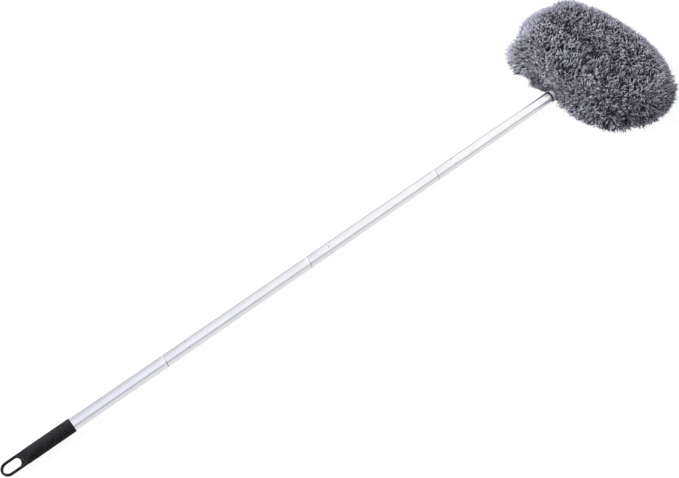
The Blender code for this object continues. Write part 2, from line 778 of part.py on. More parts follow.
def backing_slice(name, index):
    """A mitred length of the fabric tube round the sheath."""
    start = index * SLICE_SEGMENTS
    end = start + SLICE_SEGMENTS
    before = LOOP[start - 1] if start > 0 else LOOP[0] * 2 - LOOP[1]
    after = LOOP[end + 1] if end < len(LOOP) - 1 else LOOP[-1] * 2 - LOOP[-2]
    route = [on_loop(point) for point in [before] + LOOP[start:end + 1] + [after]]
    piece = curve_mesh(name, path_curve(name, route, BACKING_RADIUS, BACKING_SIDES), GREY_PILE)
    shape = bmesh.new()
    shape.from_mesh(piece.data)
    for at, sign in ((start, -1), (end, 1)):
        flat = loop_direction(at)
        normal = (SIDE * flat.x + AWAY * flat.y) * sign
        place = on_loop(LOOP[at]) - normal * (CLEARANCE / 2)
        everything = shape.verts[:] + shape.edges[:] + shape.faces[:]
        cut = bmesh.ops.bisect_plane(shape, geom=everything, plane_co=place, plane_no=normal,
                                     clear_outer=True, dist=WELD / 10)
        rim = [item for item in cut["geom_cut"] if isinstance(item, bmesh.types.BMEdge)]
        bmesh.ops.edgeloop_fill(shape, edges=rim)
    bmesh.ops.recalc_face_normals(shape, faces=shape.faces)
    shape.to_mesh(piece.data)
    shape.free()
    return piece, route


def make_pile(floor_cut):
    """The ring of pile, slice by slice."""
    rng = random.Random(SEED)
    slices = []
    for index in range(PILE_SLICES):
        name = "pile_slice_%02d" % (index + 1)
        piece, route = backing_slice(name, index)
        strands = curve_mesh(name + "_strands", strand_curve(name + "_strands", slice_strands(index, rng)))
        bore = curve_mesh(name + "_bore", path_curve(name + "_bore", route,
                                                     seated(SHEATH_RADIUS, SHEATH_SIDES), SHEATH_SIDES))
        join_with(piece, strands, "UNION")
        join_with(piece, bore, "DIFFERENCE")
        join_with(piece, floor_cut, "DIFFERENCE")
        slices.append(piece)
    return slices


def cuff_strands(start, end):
    """Three rows of strands along the cuff, which stand up between the two sides of the ring."""
    rng = random.Random(SEED + 1)
    strands = []
    for station in range(CUFF_STATIONS):
        along = start + (end - start) * (station + 0.5) / CUFF_STATIONS
        centre = Vector((along, 0, AXIS_HEIGHT))
        for angle in CUFF_FAN:
            direction = Vector((0, math.cos(angle), math.sin(angle)))
            root = centre + direction * (BACKING_RADIUS - CUFF_ROOT_DEPTH)
            tip = centre + direction * (CUFF_STRAND * rng.uniform(SHORTEST_STRAND, 1.0))
            strands.append((root, root.lerp(tip, STRAND_MIDDLE_SHARE), tip))
    return strands


def make_cuff(floor_cut):
    """The fabric cuff round the neck, with its strands."""
    start = NECK_START + CUFF_START
    end = NECK_END - CUFF_END_GAP
    over = end - start
    cuff = cylinder("sleeve_cuff", BACKING_RADIUS, (start, 0, AXIS_HEIGHT), (end, 0, AXIS_HEIGHT),
                    2 * BACKING_SIDES, GREY_PILE)
    hair = curve_mesh("sleeve_cuff_strands", strand_curve("sleeve_cuff_strands", cuff_strands(start, end)))
    bore = cylinder("sleeve_cuff_bore", seated(NECK_RADIUS, TUBE_SIDES), (start - over, 0, AXIS_HEIGHT),
                    (end + over, 0, AXIS_HEIGHT), TUBE_SIDES)
    join_with(cuff, hair, "UNION")
    join_with(cuff, bore, "DIFFERENCE")
    join_with(cuff, floor_cut, "DIFFERENCE")
    return cuff


def make_head(holder):
    """Everything that comes off with the head."""
    hold(holder, *make_neck(), *make_wire())
    far = NECK_END + 2 * (LOOP_CENTRE_AWAY + LOOP_HALF_WIDTH + STRAND_REACH)
    wide = 2 * (LOOP_HALF_LENGTH + STRAND_REACH)
    floor_cut = block("floor_cut", (NECK_START - STRAND_REACH, -wide, -STRAND_REACH), (far, wide, 0))
    hold(holder, *make_pile(floor_cut), make_cuff(floor_cut))


def centre_on_origin(origin):
    """Moves the whole duster so that the middle of its footprint lies at the origin."""
    bpy.context.view_layer.update()
    depsgraph = bpy.context.evaluated_depsgraph_get()
    low, high = [math.inf] * 2, [-math.inf] * 2
    for obj in parts.objects:
        if obj.type != "MESH":
            continue
        for corner in obj.evaluated_get(depsgraph).bound_box:
            place = obj.matrix_world @ Vector(corner)
            for axis in range(2):
                low[axis] = min(low[axis], place[axis])
                high[axis] = max(high[axis], place[axis])
    origin.location.x = -(low[0] + high[0]) / 2
    origin.location.y = -(low[1] + high[1]) / 2


def main():
    origin = bpy.data.objects.new("duster_origin", None)
    parts.objects.link(origin)
    section_holder = carrier("handle_section", 0)
    hold(origin, section_holder)
    hold(section_holder, make_grip())
    for section in range(1, SECTION_COUNT + 1):
        hold(section_holder, make_tube(section), make_plug(section))
        if section > 1:
            hold(section_holder, make_socket(section))
        end = SECTION_LENGTH * section
        ring_holder = carrier("ring_%d" % section, end, section_holder)
        hold(ring_holder, make_ring(section))
        if section < SECTION_COUNT:
            section_holder = carrier("section_%d" % (section + 1), end, ring_holder)
    make_head(carrier("head", POLE_END, ring_holder))
    centre_on_origin(origin)


main()
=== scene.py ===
"""Looks of the ceiling fan duster: a satin aluminium pole, a black grip and a ring of curly grey pile.

Metres, in the frame's own axes: the pole lies along +X, the head leans 6 degrees to +Y, +Z is up.
"""

import math

import bmesh
import bpy
import numpy as np
from mathutils import Matrix, Vector


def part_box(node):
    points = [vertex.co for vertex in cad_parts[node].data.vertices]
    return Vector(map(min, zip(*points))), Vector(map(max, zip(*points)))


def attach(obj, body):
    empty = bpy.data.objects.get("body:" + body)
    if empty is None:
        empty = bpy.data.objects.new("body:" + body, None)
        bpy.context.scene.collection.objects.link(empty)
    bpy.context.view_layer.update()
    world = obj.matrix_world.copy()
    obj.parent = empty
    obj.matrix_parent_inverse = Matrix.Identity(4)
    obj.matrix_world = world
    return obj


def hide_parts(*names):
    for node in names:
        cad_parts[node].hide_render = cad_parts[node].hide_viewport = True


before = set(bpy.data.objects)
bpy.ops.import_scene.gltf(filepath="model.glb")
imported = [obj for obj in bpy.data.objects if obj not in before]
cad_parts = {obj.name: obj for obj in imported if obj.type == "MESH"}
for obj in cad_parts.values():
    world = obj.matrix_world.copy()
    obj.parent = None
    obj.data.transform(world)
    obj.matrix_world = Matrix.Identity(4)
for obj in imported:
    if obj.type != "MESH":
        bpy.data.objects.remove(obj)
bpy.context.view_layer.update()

# The camera that the seams in the photograph give
LENS = 50.0
SENSOR = 36.0
CAMERA_AZIMUTH = math.radians(-38.95)
CAMERA_ELEVATION = math.radians(58.11)
CAMERA_DISTANCE = 1.6837
CAMERA_AIM = Vector((-0.0522, -0.00435, 0.012))

# Places read from the frame
TUBE_NAMES = ["pole_tube_%d" % number for number in (1, 2, 3, 4)]
TUBE_LOW, TUBE_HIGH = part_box("pole_tube_2")
AXIS_Y = (TUBE_LOW.y + TUBE_HIGH.y) / 2
AXIS_Z = (TUBE_LOW.z + TUBE_HIGH.z) / 2
TUBE_RADIUS = (TUBE_HIGH.y - TUBE_LOW.y) / 2
SHEATH_LOW, SHEATH_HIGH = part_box("frame_sheath")
LOOP_CENTRE = Vector(((SHEATH_LOW.x + SHEATH_HIGH.x) / 2, (SHEATH_LOW.y + SHEATH_HIGH.y) / 2, AXIS_Z))

# Edges: the most that rounding takes of one, the rounding of thin parts, and what stays sharp
MOST_OF_EDGE = 0.45
THIN_ROUNDING = 0.0001
SHARP_ANGLE = math.radians(35)

# Tubes: the bell at the upper end, the crimp dents, and the painted shade in them
TUBE_WALL = 0.0007
TUBE_SEGMENTS = 192
LEAST_BELL = 0.0001
BELL_LENGTH = 0.014
BELL_STATIONS = (0.12, 0.24, 0.36, 0.48, 0.6, 0.8, 1.0)
BELL_POWER = 1.6
DENT_RADIUS = 0.00105
DENT_DEPTH = 0.0009
DENT_POWER = 0.8
DENT_ROWS = range(-6, 7)
DENT_ROW_STEP = 0.00033
DENTS_ROUND = 5
SOCKET_DENT_SETBACK = 0.044
PLUG_DENT_SETBACK = 0.01
SEAM_DENT_TURNS = np.radians((-48.0, -9.5, -41.0))
HEAD_DENT_TURN = math.radians(-5.0)
DENT_SHADE_REACH = 1.25
DENT_SHADE_SHARPNESS = 2.5

# Rings
RING_SEGMENTS = 128
RING_BORE_SHARE = 0.79
END_RING_ROUNDING = 0.0004

# Plugs with their threaded studs, and sockets
STUD_CORE = 0.0072
STUD_BORE = 0.004
STUD_CHAMFER = 0.0012
CORE_MARGIN = 0.0001
SHOULDER_SLOPE = 0.0002
THREAD_HEIGHT = 0.0011
THREAD_PITCH = 0.005
THREAD_GAIN = 1.9
THREAD_SINK = 0.55
THREAD_START = 0.001
THREAD_RUNOUT = 0.002
THREAD_SEGMENTS = 96
THREAD_STEP = 0.00025
SOCKET_MOUTH = 0.00865
SOCKET_TAIL = 0.0065
SOCKET_DEPTH = 0.03
SOCKET_ROUNDING = 0.0004

# Grip, as the frame has it: the handle, the tab and its hanging eye
GRIP_RADIUS = 0.0122
GRIP_LENGTH = 0.126
GRIP_COVER = 0.064
GRIP_BORE = 0.0113
GRIP_SEGMENTS = 128
BLIND_CENTRE = 0.00001
TIP_ARC = 89.5
TIP_POINTS = 30
TAB_THICKNESS = 0.0064
TAB_LAND = 0.006
TAB_RAMP = 0.011
EYE_TIP_WALL = 0.0037
EYE_LENGTH = 0.0298
EYE_WIDTH = 0.0182
EYE_STEPS = 40
EYE_CORNER = 0.002
CORNER_END = 35
CORNER_STEPS = 6
EYE_BULGE = 0.003
BULGE_SINK = 0.0003
BULGE_SPAN = 0.78
BULGE_ROOT = 0.95
BULGE_POINTS = 25

# The grip's even skin, the rounding of its ramp and edges, and where its true radii come back
GRIP_VOXEL = 0.00045
GRIP_ROUNDING = 4
RAMP_ROUNDING = 40
RAMP_WEIGHT = 1.6
RAMP_FADE = 0.7
RAMP_LEVELS = (0.25, 0.5, 0.75, 1.0)
ROUND_FROM = 1.6
ROUND_MOUTH = 0.0012
ROUND_REACH = 0.7
# Heights over the axis where the patches of wear and painted highlight fade in on the grip's top
WEAR_AND_SHEEN_HEIGHTS = (0.005, 0.011)

# Head: the oval of wire, and the fabric sleeve on it
HEAD_TURN = math.radians(6.0)
AWAY = np.array((math.cos(HEAD_TURN), math.sin(HEAD_TURN), 0))
SIDE = np.array((-math.sin(HEAD_TURN), math.cos(HEAD_TURN), 0))
UP = np.array((0, 0, 1.0))
LOOP_HALF_LENGTH = 0.112
LOOP_HALF_WIDTH = 0.062
LOOP_POWER = 2.6
LOOP_GAP = 0.017
LOOP_FINE_POINTS = 7201
LOOP_POINTS = 1401
SLICE_COUNT = 14
SLEEVE_RADIUS = 0.0052
SLEEVE_BORE = 0.0043
SLEEVE_SIDES = 24
SLEEVE_STEP = 5

# Every strand: its shape, and the room that it stays in
SEED = 23
STRAND_RADIUS = 0.00096
STRAND_SHARES = np.array((0.0, 0.22, 0.40, 0.50, 0.58, 0.66, 0.73, 0.79, 0.85, 0.90, 0.95, 0.98, 1.0))
STRAND_WIDTHS = np.array((0.45, 0.75, 0.9, 1.0, 1.0, 1.0, 1.05, 1.05, 1.0, 0.9, 0.75, 0.5, 0.0))
WIDTH_RANGE = (0.8, 1.2)
BEND_START = 0.5
BEND_POWER = 1.4
BEND_LOSS = 0.12
BEND_SIZE = 0.014
BEND_RANGE = (0.15, 1.0)
CURL = 0.0024
CURL_RANGE = (0.3, 1.0)
CURL_TURNS = (2.2, 4.6)
CURL_POWER = 0.7
SCATTER = 0.09
SCATTER_LIMIT = 1.7
FLOOR_GAP = 0.0003
PILE_TOP = 0.0732
PILE_HALF_WIDTH = 0.1875

# The front of the pile either side of the pole: its least X, by Y
PILE_FRONT = ((-0.110, 0.440), (-0.050, 0.466), (-0.030, 0.470), (-0.024, 0.4785), (0.007, 0.4785),
              (0.012, 0.476), (0.0287, 0.468), (0.040, 0.457), (0.050, 0.469), (0.060, 0.475),
              (0.070, 0.469), (0.085, 0.456), (0.110, 0.440))
FRONT_SLOPE = (0.5, 0.3)
FRONT_MARGIN = 0.004
HOLD_BACK_STEPS = 36
HOLD_BACK = 0.955

# The ring's pile: yarn in tufts round the sleeve, finer fuzz on its outer side, and the slot in the middle
TUFTS_PER_SLICE = 370
STRANDS_PER_TUFT = 4
YARN_ANGLES = (-16, 196)
YARN_LONGEST = 0.955
YARN_SPREAD = 0.3
LENGTH_SHAPE = (1.1, 2.0)
FUZZ_PER_SLICE = 560
FUZZ_ANGLES = (-16, 60)
FUZZ_LENGTHS = (0.84, 1.0)
FUZZ_SCALE = 0.4
BEND_SCATTER = 0.8
ROOT_SCATTER = 0.0016
PILE_RISE = 0.0515
INNER_FULLNESS = 3.0
OUTER_FULLNESS = 2.2
SLOT_HALF_LENGTH = 0.078
SLOT_AWAY = 0.018
SLOT_TILT = -0.08
SLOT_SPREAD = 0.007

# The reach of the outward strands in millimetres, and the spread of their lengths, by degrees from +X
PILE_REACH = ((-169, 73), (-163, 77), (-156, 76), (-150, 74), (-141, 79), (-129, 70), (-120, 63), (-111, 67),
              (-100, 69), (-88, 70), (-61, 70), (-39, 56), (-16, 54), (11, 59), (34, 62), (45, 74), (56, 62),
              (68, 50), (91, 56), (107, 60), (118, 45), (129, 45), (141, 67), (153, 82), (164, 81), (175, 59))
RIM_SPREAD = ((-172, 0.11), (-160, 0.06), (-90, 0.06), (-60, 0.11), (-30, 0.13))

# Strand tones: the share of dark tips and their most, then the least and the most of the others
YARN_TONES = (0.46, 0.03, 0.60, 1.27)
FUZZ_TONES = (0.10, 0.10, 0.25, 0.85)
DARK_RANGE = (0.05, 1)
TONE_SHAPE = (1.1, 1.5)
PALEST = 0.86
TINT = (0.97, 0.96, 1.27)
TINT_LOSS = 0.5
TINT_SCATTER = 0.02
# Painted shade deep in the pile: the tone at the root, and the shares of a strand over which it gives way to
# the tip's tone
ROOT_SHADE_TONE = 0.02
ROOT_END = 0.62
TIP_START = 0.95
TIP_POWER = 1.4

# The painted highlight on the pale rim and the painted shade and light of the inner side, by how far a strand
# points outward and by degrees from +X
RIM_HIGHLIGHT_TONE = 0.84
RIM_FROM = 0.2
RIM_FULL = 0.72
RIM_RANGE = (0.8, 1.0)
RIM_HIGHLIGHT_SHARE = ((-165, 0.12), (-129, 0.0), (-100, 0.1), (-70, 0.6), (-39, 1.0), (11, 0.9), (51, 1.0), (150, 1.0),
            (170, 0.45))
INNER_FROM = 0.5
# Painted shade and light on the inner side, by degrees from +X: darker at the crease, paler in other
# directions
INNER_SHADE_AND_LIGHT = ((-175, 1.25), (-160, 0.95), (-140, 0.85), (-120, 0.7), (-85, 0.55), (-55, 0.65), (-25, 1.0),
              (40, 1.05), (90, 1.15), (150, 1.3))

# The cuff's pile: its roots, its lengths from the pole's end inward, and its paler start
CUFF_STRANDS = 1900
CUFF_SEED = SEED + 100
CUFF_CROWDING = 1.5
CUFF_ANGLES = (-10, 190)
CUFF_INSET = 0.0015
CUFF_RADIUS = 0.0112
CUFF_LEAN = 1.5
CUFF_SHORTEST = 0.022
CUFF_GROWTH = 0.05
CUFF_GROWTH_RATE = 1.4
CUFF_RANGE = (0.75, 1.0)
CUFF_FINE_SHARE = 0.5
CUFF_WIDTH = 0.8
CUFF_TONE = 0.7
CUFF_PALENESS = 0.45
CUFF_PALE_RATE = 3
# How much lighter the painted root shade is at the cuff's pale start
CUFF_ROOT_TONE = 0.3

# The flap of close pile beside the pole's end: the box of its roots, and the way that it hangs
FLAP_STRANDS = 520
FLAP_SEED = SEED + 200
FLAP_LOW = (0.500, 0.018, 0.010)
FLAP_HIGH = (0.528, 0.062, 0.034)
FLAP_WAY = np.array((-0.72, -0.62, -0.20))
FLAP_SCATTER = 0.05
FLAP_LENGTHS = (0.040, 0.062)
FLAP_BEND = 0.3
FLAP_WIDTH = 0.7
FLAP_TONES = (0.08, 0.46)
# The flap's lighter painted root shade
FLAP_ROOT_TONE = 0.3

# The hem of the sleeve's cuff, drawn in behind the pole's black ring
HEM_END = 0.484
HEM_RADIUS = 0.01195
HEM_BORE = 0.01158
HEM_OVER_RING = 0.0009
HEM_RIBS = 44
HEM_RIB_HEIGHT = 0.00018
HEM_RIB_SEGMENTS = 8

# Light: the surround, the key lamp by its place right, up and back of the head, and the fill lamp
WORLD_LEVEL = 0.36
KEY_PLACE = (-1.6, 0.7, 0.85)
KEY_SIZE = 0.7
KEY_POWER = 45
FILL_PLACE = (0.0, -1.6, 1.0)
FILL_AIM = (0.1, 0.0, 0.0)
FILL_SIZE = 1.2
FILL_POWER = 4

# What the metal sees of the surround by height, from the horizon at 0 to overhead at 1
NEAR_SIDE = ((0.0, 0.84), (0.07, 0.84), (0.16, 0.5), (0.34, 0.5), (0.52, 1.02), (1.0, 1.08))
NEAR_HANDLE = ((0.0, 0.81), (0.24, 0.81), (0.32, 0.48), (0.5, 0.48), (0.66, 1.0), (1.0, 1.06))
FAR_SIDE = ((0.0, 0.70), (0.08, 0.74), (0.22, 1.05), (1.0, 1.08))
FAR_HANDLE = ((0.0, 0.70), (0.16, 0.74), (0.67, 0.85), (0.87, 0.92), (1.0, 1.02))
HANDLE_TINT = (0.88, 0.88, 0.97)
HANDLE_TO_POLE = (0.1, 0.5)
HANDLE_TO_WHITE = (0.0, 0.45)
NEAR_TO_FAR = (-0.2, 0.2)

# Floor
PLAIN_WHITE = (1, 1, 1, 1)
FLOOR_HALF = 6.0
FLOOR_DROP = 0.0002
FLOOR_COLOUR = (0.72, 0.72, 0.72)
FLOOR_GLOW = 0.93
FLOOR_PAPER = (0.13, 0.13, 0.13, 1)
FLOOR_IN_GLOSS = (0.82, 0.68)
FLOOR_BLEND = 0.02


def shader_of(material):
    """The Principled shader of a material."""
    return material.node_tree.nodes["Principled BSDF"]


def set_input(owner, socket, value):
    """Gives an input a plain value, or joins another node's output to it."""
    if isinstance(value, bpy.types.NodeSocket):
        owner.node_tree.links.new(value, socket)
    else:
        socket.default_value = value


def feed(material, target, value):
    """Sets or joins one of the shader's inputs."""
    set_input(material, shader_of(material).inputs[target], value)


def new_material(name, colour, roughness, metallic=0.0, **others):
    """A material with its even values on the shader's own sockets."""
    material = bpy.data.materials.new(name)
    material.use_nodes = True
    values = {"Base Color": (*colour, 1), "Roughness": roughness, "Metallic": metallic, **others}
    for key, value in values.items():
        feed(material, key.replace("_", " "), value)
    return material


def add_node(owner, kind, *sockets, **values):
    """A node in a material or the world, with its first inputs set in order and the rest by name."""
    node = owner.node_tree.nodes.new(kind)
    for socket, value in zip(node.inputs, sockets):
        set_input(owner, socket, value)
    for key, value in values.items():
        if hasattr(node, key):
            setattr(node, key, value)
        else:
            set_input(owner, node.inputs[key.replace("_", " ")], value)
    return node


def object_place(material, scale=(1, 1, 1)):
    """Object coordinates, stretched along the axes."""
    place = add_node(material, "ShaderNodeTexCoord").outputs["Object"]
    return add_node(material, "ShaderNodeMapping", Vector=place, Scale=scale).outputs["Vector"]


def noise(material, place, scale, detail=3.0, roughness=0.55):
    """A noise texture's even grey output."""
    return add_node(material, "ShaderNodeTexNoise", Vector=place, Scale=scale, Detail=detail,
                    Roughness=roughness).outputs["Fac"]


def ramp(owner, source, stops):
    """A colour ramp from (position, colour) stops."""
    node = add_node(owner, "ShaderNodeValToRGB", source)
    elements = node.color_ramp.elements
    for _ in stops[2:]:
        elements.new(0.5)
    for element, (position, colour) in zip(elements, stops):
        element.position = position
        element.color = (*colour, 1)
    return node.outputs["Color"]


def mapped(owner, source, start, end, low=0.0, high=1.0):
    """A value that runs from low to high while its source runs from start to end."""
    return add_node(owner, "ShaderNodeMapRange", source, start, end, low, high).outputs["Result"]


def mixed(owner, factor, first, second, blend="MIX"):
    """A mix of two colours."""
    node = add_node(owner, "ShaderNodeMix", data_type="RGBA", blend_type=blend, Factor=factor)
    set_input(owner, node.inputs[6], first)
    set_input(owner, node.inputs[7], second)
    return node.outputs[2]


def bump(material, height, strength, distance):
    """Feeds a height into the shader's normal."""
    node = add_node(material, "ShaderNodeBump", Strength=strength, Distance=distance, Height=height)
    feed(material, "Normal", node.outputs["Normal"])


def roughen(material, source, low, high):
    """Maps a grey value to a range of roughness."""
    feed(material, "Roughness", mapped(material, source, 0, 1, low, high))


def aluminium_material():
    """Satin anodised tube with fine draw lines along its length, and painted shade in its dents."""
    material = new_material("satin_aluminium_looks", (0.905, 0.91, 0.925), 0.2, 1.0)
    lines = noise(material, object_place(material, (3, 900, 900)), 1.0, 2.0)
    clouds = noise(material, object_place(material), 28.0)
    metal = ramp(material, clouds, ((0.3, (0.88, 0.885, 0.90)), (0.7, (0.93, 0.935, 0.95))))
    dent = add_node(material, "ShaderNodeAttribute", attribute_name="dent").outputs["Fac"]
    # Painted shade: the bottoms of the dents turn near black
    feed(material, "Base Color", mixed(material, dent, metal, (0.03, 0.03, 0.035, 1)))
    roughen(material, lines, 0.15, 0.25)
    bump(material, lines, 0.12, 0.0002)
    return material


def grip_material():
    """Soft black sleeve: mottled skin, with smooth lavender-grey patches on its top that are partly wear
    where a hand has rubbed it and partly a painted highlight.
    """
    material = new_material("black_grip_looks", (0.014, 0.0135, 0.016), 0.6, Specular_IOR_Level=0.03)
    place = object_place(material)
    mottle = ramp(material, noise(material, place, 420.0, 3.0, 0.6),
                  ((0.36, (0.014, 0.014, 0.0145)), (0.62, (0.033, 0.0325, 0.036))))
    patches = ramp(material, noise(material, object_place(material, (0.75, 1, 1)), 85.0, 1.5, 0.4),
                   ((0.5, (0, 0, 0)), (0.6, (1, 1, 1))))
    height = add_node(material, "ShaderNodeSeparateXYZ", place).outputs["Z"]
    # Patches on the grip's top: partly wear, partly a painted highlight
    top = mapped(material, height, *[AXIS_Z + rise for rise in WEAR_AND_SHEEN_HEIGHTS])
    worn_and_sheen = add_node(material, "ShaderNodeMath", patches, top, operation="MULTIPLY").outputs["Value"]
    feed(material, "Base Color", mixed(material, worn_and_sheen, mottle, (0.027, 0.0255, 0.032, 1)))
    bump(material, noise(material, place, 900.0), 0.5, 0.0006)
    roughen(material, worn_and_sheen, 0.7, 0.58)
    return material


def plastic_material(name, low, high, roughness, **others):
    """Moulded plastic with a fine grain."""
    material = new_material(name, low, roughness, **others)
    place = object_place(material)
    feed(material, "Base Color", ramp(material, noise(material, place, 160.0), ((0.35, low), (0.65, high))))
    grain = noise(material, place, 2600.0, 2.0)
    bump(material, grain, 0.25, 0.0002)
    roughen(material, grain, roughness - 0.06, roughness + 0.06)
    return material


def steel_material():
    """Bright drawn steel."""
    material = new_material("spring_steel_looks", (0.55, 0.55, 0.57), 0.28, 1.0)
    lines = noise(material, object_place(material), 1400.0, 2.0)
    roughen(material, lines, 0.2, 0.36)
    bump(material, lines, 0.1, 0.0001)
    return material


def pile_material():
    """Microfibre: each strand's tone comes from its mesh, with painted shade at the root and the strand's own
    tone at the tip.
    """
    material = new_material("grey_pile_looks", (0.2, 0.2, 0.23), 0.85,
                            Sheen_Weight=0.25, Sheen_Roughness=0.5, Specular_IOR_Level=0.2)
    tone = add_node(material, "ShaderNodeAttribute", attribute_name="tone").outputs["Color"]
    fine = noise(material, object_place(material), 700.0, 2.0)
    shade = ramp(material, fine, ((0.3, (0.72, 0.72, 0.72)), (0.7, (1, 1, 1))))
    feed(material, "Base Color", mixed(material, 1.0, tone, shade, "MULTIPLY"))
    return material


def knit_material(name, thread, gap):
    """Knitted fabric: small rounded stitches with darker gaps between them."""
    material = new_material(name, thread, 0.9)
    weave = add_node(material, "ShaderNodeTexVoronoi", Vector=object_place(material), Scale=900.0)
    feed(material, "Base Color", ramp(material, weave.outputs["Distance"], ((0.1, thread), (0.6, gap))))
    bump(material, weave.outputs["Distance"], 0.6, 0.0006)
    return material


ALUMINIUM = aluminium_material()
GRIP = grip_material()
BLACK = plastic_material("black_plastic_looks", (0.016, 0.016, 0.017), (0.026, 0.026, 0.028), 0.42)
RING_BLACK = plastic_material("ring_plastic_looks", (0.006, 0.006, 0.0065), (0.010, 0.010, 0.011), 0.6,
                              Specular_IOR_Level=0.15)
WHITE = plastic_material("white_nylon_looks", (0.80, 0.80, 0.82), (0.85, 0.85, 0.86), 0.4)
SHEATH = plastic_material("grey_sheath_looks", (0.2, 0.2, 0.21), (0.27, 0.27, 0.29), 0.5)
STEEL = steel_material()
PILE = pile_material()
SLEEVE = knit_material("sleeve_fabric_looks", (0.12, 0.12, 0.14), (0.05, 0.05, 0.06))
HEM = knit_material("hem_fabric_looks", (0.80, 0.80, 0.83), (0.60, 0.60, 0.64))


def add_object(name, data):
    """A new object in the scene, for a mesh, a lamp or a camera."""
    obj = bpy.data.objects.new(name, data)
    bpy.context.scene.collection.objects.link(obj)
    return obj


def mesh_object(name, vertices, faces, material):
    """A smooth mesh object from points and faces."""
    mesh = bpy.data.meshes.new(name)
    mesh.from_pydata(vertices.tolist(), [], faces)
    mesh.validate()
    mesh.materials.append(material)
    mesh.shade_smooth()
    mesh.set_sharp_from_angle(angle=SHARP_ANGLE)
    return add_object(name, mesh)


def points_of(obj):
    """The places of a mesh object's vertices."""
    points = np.empty(len(obj.data.vertices) * 3, np.float32)
    obj.data.vertices.foreach_get("co", points)
    return points.reshape(-1, 3)


def stand_for(obj, node, body):
    """Lets a piece replace a CAD node and move with its body."""
    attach(obj, body)
    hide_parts(node)


def rounded(profile, radius, steps=3):
    """A closed profile with its square corners rounded."""
    points = [np.array(point, float) for point in profile]
    result = []
    for i, corner in enumerate(points):
        edges = [points[i - 1] - corner, points[(i + 1) % len(points)] - corner]
        lengths = [np.linalg.norm(edge) for edge in edges]
        reach = min(radius, MOST_OF_EDGE * min(lengths))
        start, finish = [corner + edge / length * reach for edge, length in zip(edges, lengths)]
        for step in range(steps + 1):
            share = step / steps
            result.append(start * (1 - share) ** 2 + corner * 2 * share * (1 - share) + finish * share ** 2)
    return result


def band(length, inner, outer, rounding):
    """The profile of a ring with rounded edges."""
    return rounded([(0, inner), (length, inner), (length, outer), (0, outer)], rounding)


def loft_faces(rows, sides):
    """The faces between closed rings of points, the last of which meets the first."""
    faces = []
    for row in range(rows):
        lower, upper = row * sides, (row + 1) % rows * sides
        for i in range(sides):
            j = (i + 1) % sides
            faces.append((lower + i, upper + i, upper + j, lower + j))
    return faces


def turned(name, profile, start, segments, material, change=None):
    """A piece turned about the pole's axis from a closed (along, radius) profile."""
    along, radius = np.array(profile).T[:, :, None] + np.zeros(segments)
    along = start + along
    angle = np.arange(segments) * math.tau / segments + np.zeros((len(profile), 1))
    if change:
        radius = change(along, radius, angle)
    vertices = np.stack([along, AXIS_Y + radius * np.cos(angle), AXIS_Z + radius * np.sin(angle)], -1)
    return mesh_object(name, vertices.reshape(-1, 3), loft_faces(len(profile), segments), material)


def dent_places(section, start, end):
    """The (along, angle) places of a tube's crimp dents, with angles from +Y towards +Z."""
    steps = [i * math.tau / DENTS_ROUND for i in range(DENTS_ROUND)]
    places = []
    if section > 1:
        first = SEAM_DENT_TURNS[section - 2]
        places += [(start + SOCKET_DENT_SETBACK, math.pi / 2 - (first - step)) for step in steps]
    turns = [math.pi + math.pi / DENTS_ROUND - step for step in steps[:2]]
    if section == len(TUBE_NAMES):
        turns = [HEAD_DENT_TURN - step for step in steps]
    return places + [(end - PLUG_DENT_SETBACK, math.pi / 2 - turn) for turn in turns]


def from_dent(along, angle, place, turn):
    """How far points on a tube lie from a dent's middle, in dent radii."""
    apart = np.abs((angle - turn + math.pi) % math.tau - math.pi) * TUBE_RADIUS
    return np.hypot(along - place, apart) / DENT_RADIUS


def make_tube(section, body):
    """One aluminium tube, with thin rounded rims and small round crimp dents."""
    node = TUBE_NAMES[section - 1]
    low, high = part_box(node)
    length = high.x - low.x
    bell = (high.y - low.y) / 2 - TUBE_RADIUS
    bore = TUBE_RADIUS - TUBE_WALL
    places = dent_places(section, low.x, high.x)
    outer = [(length, TUBE_RADIUS + bell)]
    if bell > LEAST_BELL:
        outer += [(length - BELL_LENGTH * share, TUBE_RADIUS + bell * (1 - share) ** BELL_POWER)
                  for share in BELL_STATIONS]
    outer += [(0, TUBE_RADIUS)]
    stations, radii = zip(*outer[::-1])
    fine = []
    for row in {round(place[0] - low.x, 6) for place in places}:
        for step in DENT_ROWS:
            at = row + step * DENT_ROW_STEP
            fine.append((at, float(np.interp(at, stations, radii))))
    outer = sorted(outer[1:-1] + fine, reverse=True)
    rims = rounded([(length, TUBE_RADIUS + bell - TUBE_WALL), (length, TUBE_RADIUS + bell),
                    (0, TUBE_RADIUS), (0, bore)], THIN_ROUNDING)
    steps = len(rims) // 4
    profile = rims[steps:2 * steps] + outer + rims[2 * steps:]
    profile += [(length - BELL_LENGTH, bore)] + rims[:steps]

    def dented(along, radius, angle):
        outside = radius > TUBE_RADIUS - TUBE_WALL / 2
        for place, turn in places:
            dip = np.clip(1 - from_dent(along, angle, place, turn) ** 2, 0, 1) ** DENT_POWER * DENT_DEPTH
            radius = radius - dip * outside
        return radius

    tube = turned(node + "_drawn", profile, low.x, TUBE_SEGMENTS, ALUMINIUM, dented)
    mark_dents(tube, places)
    stand_for(tube, node, body)


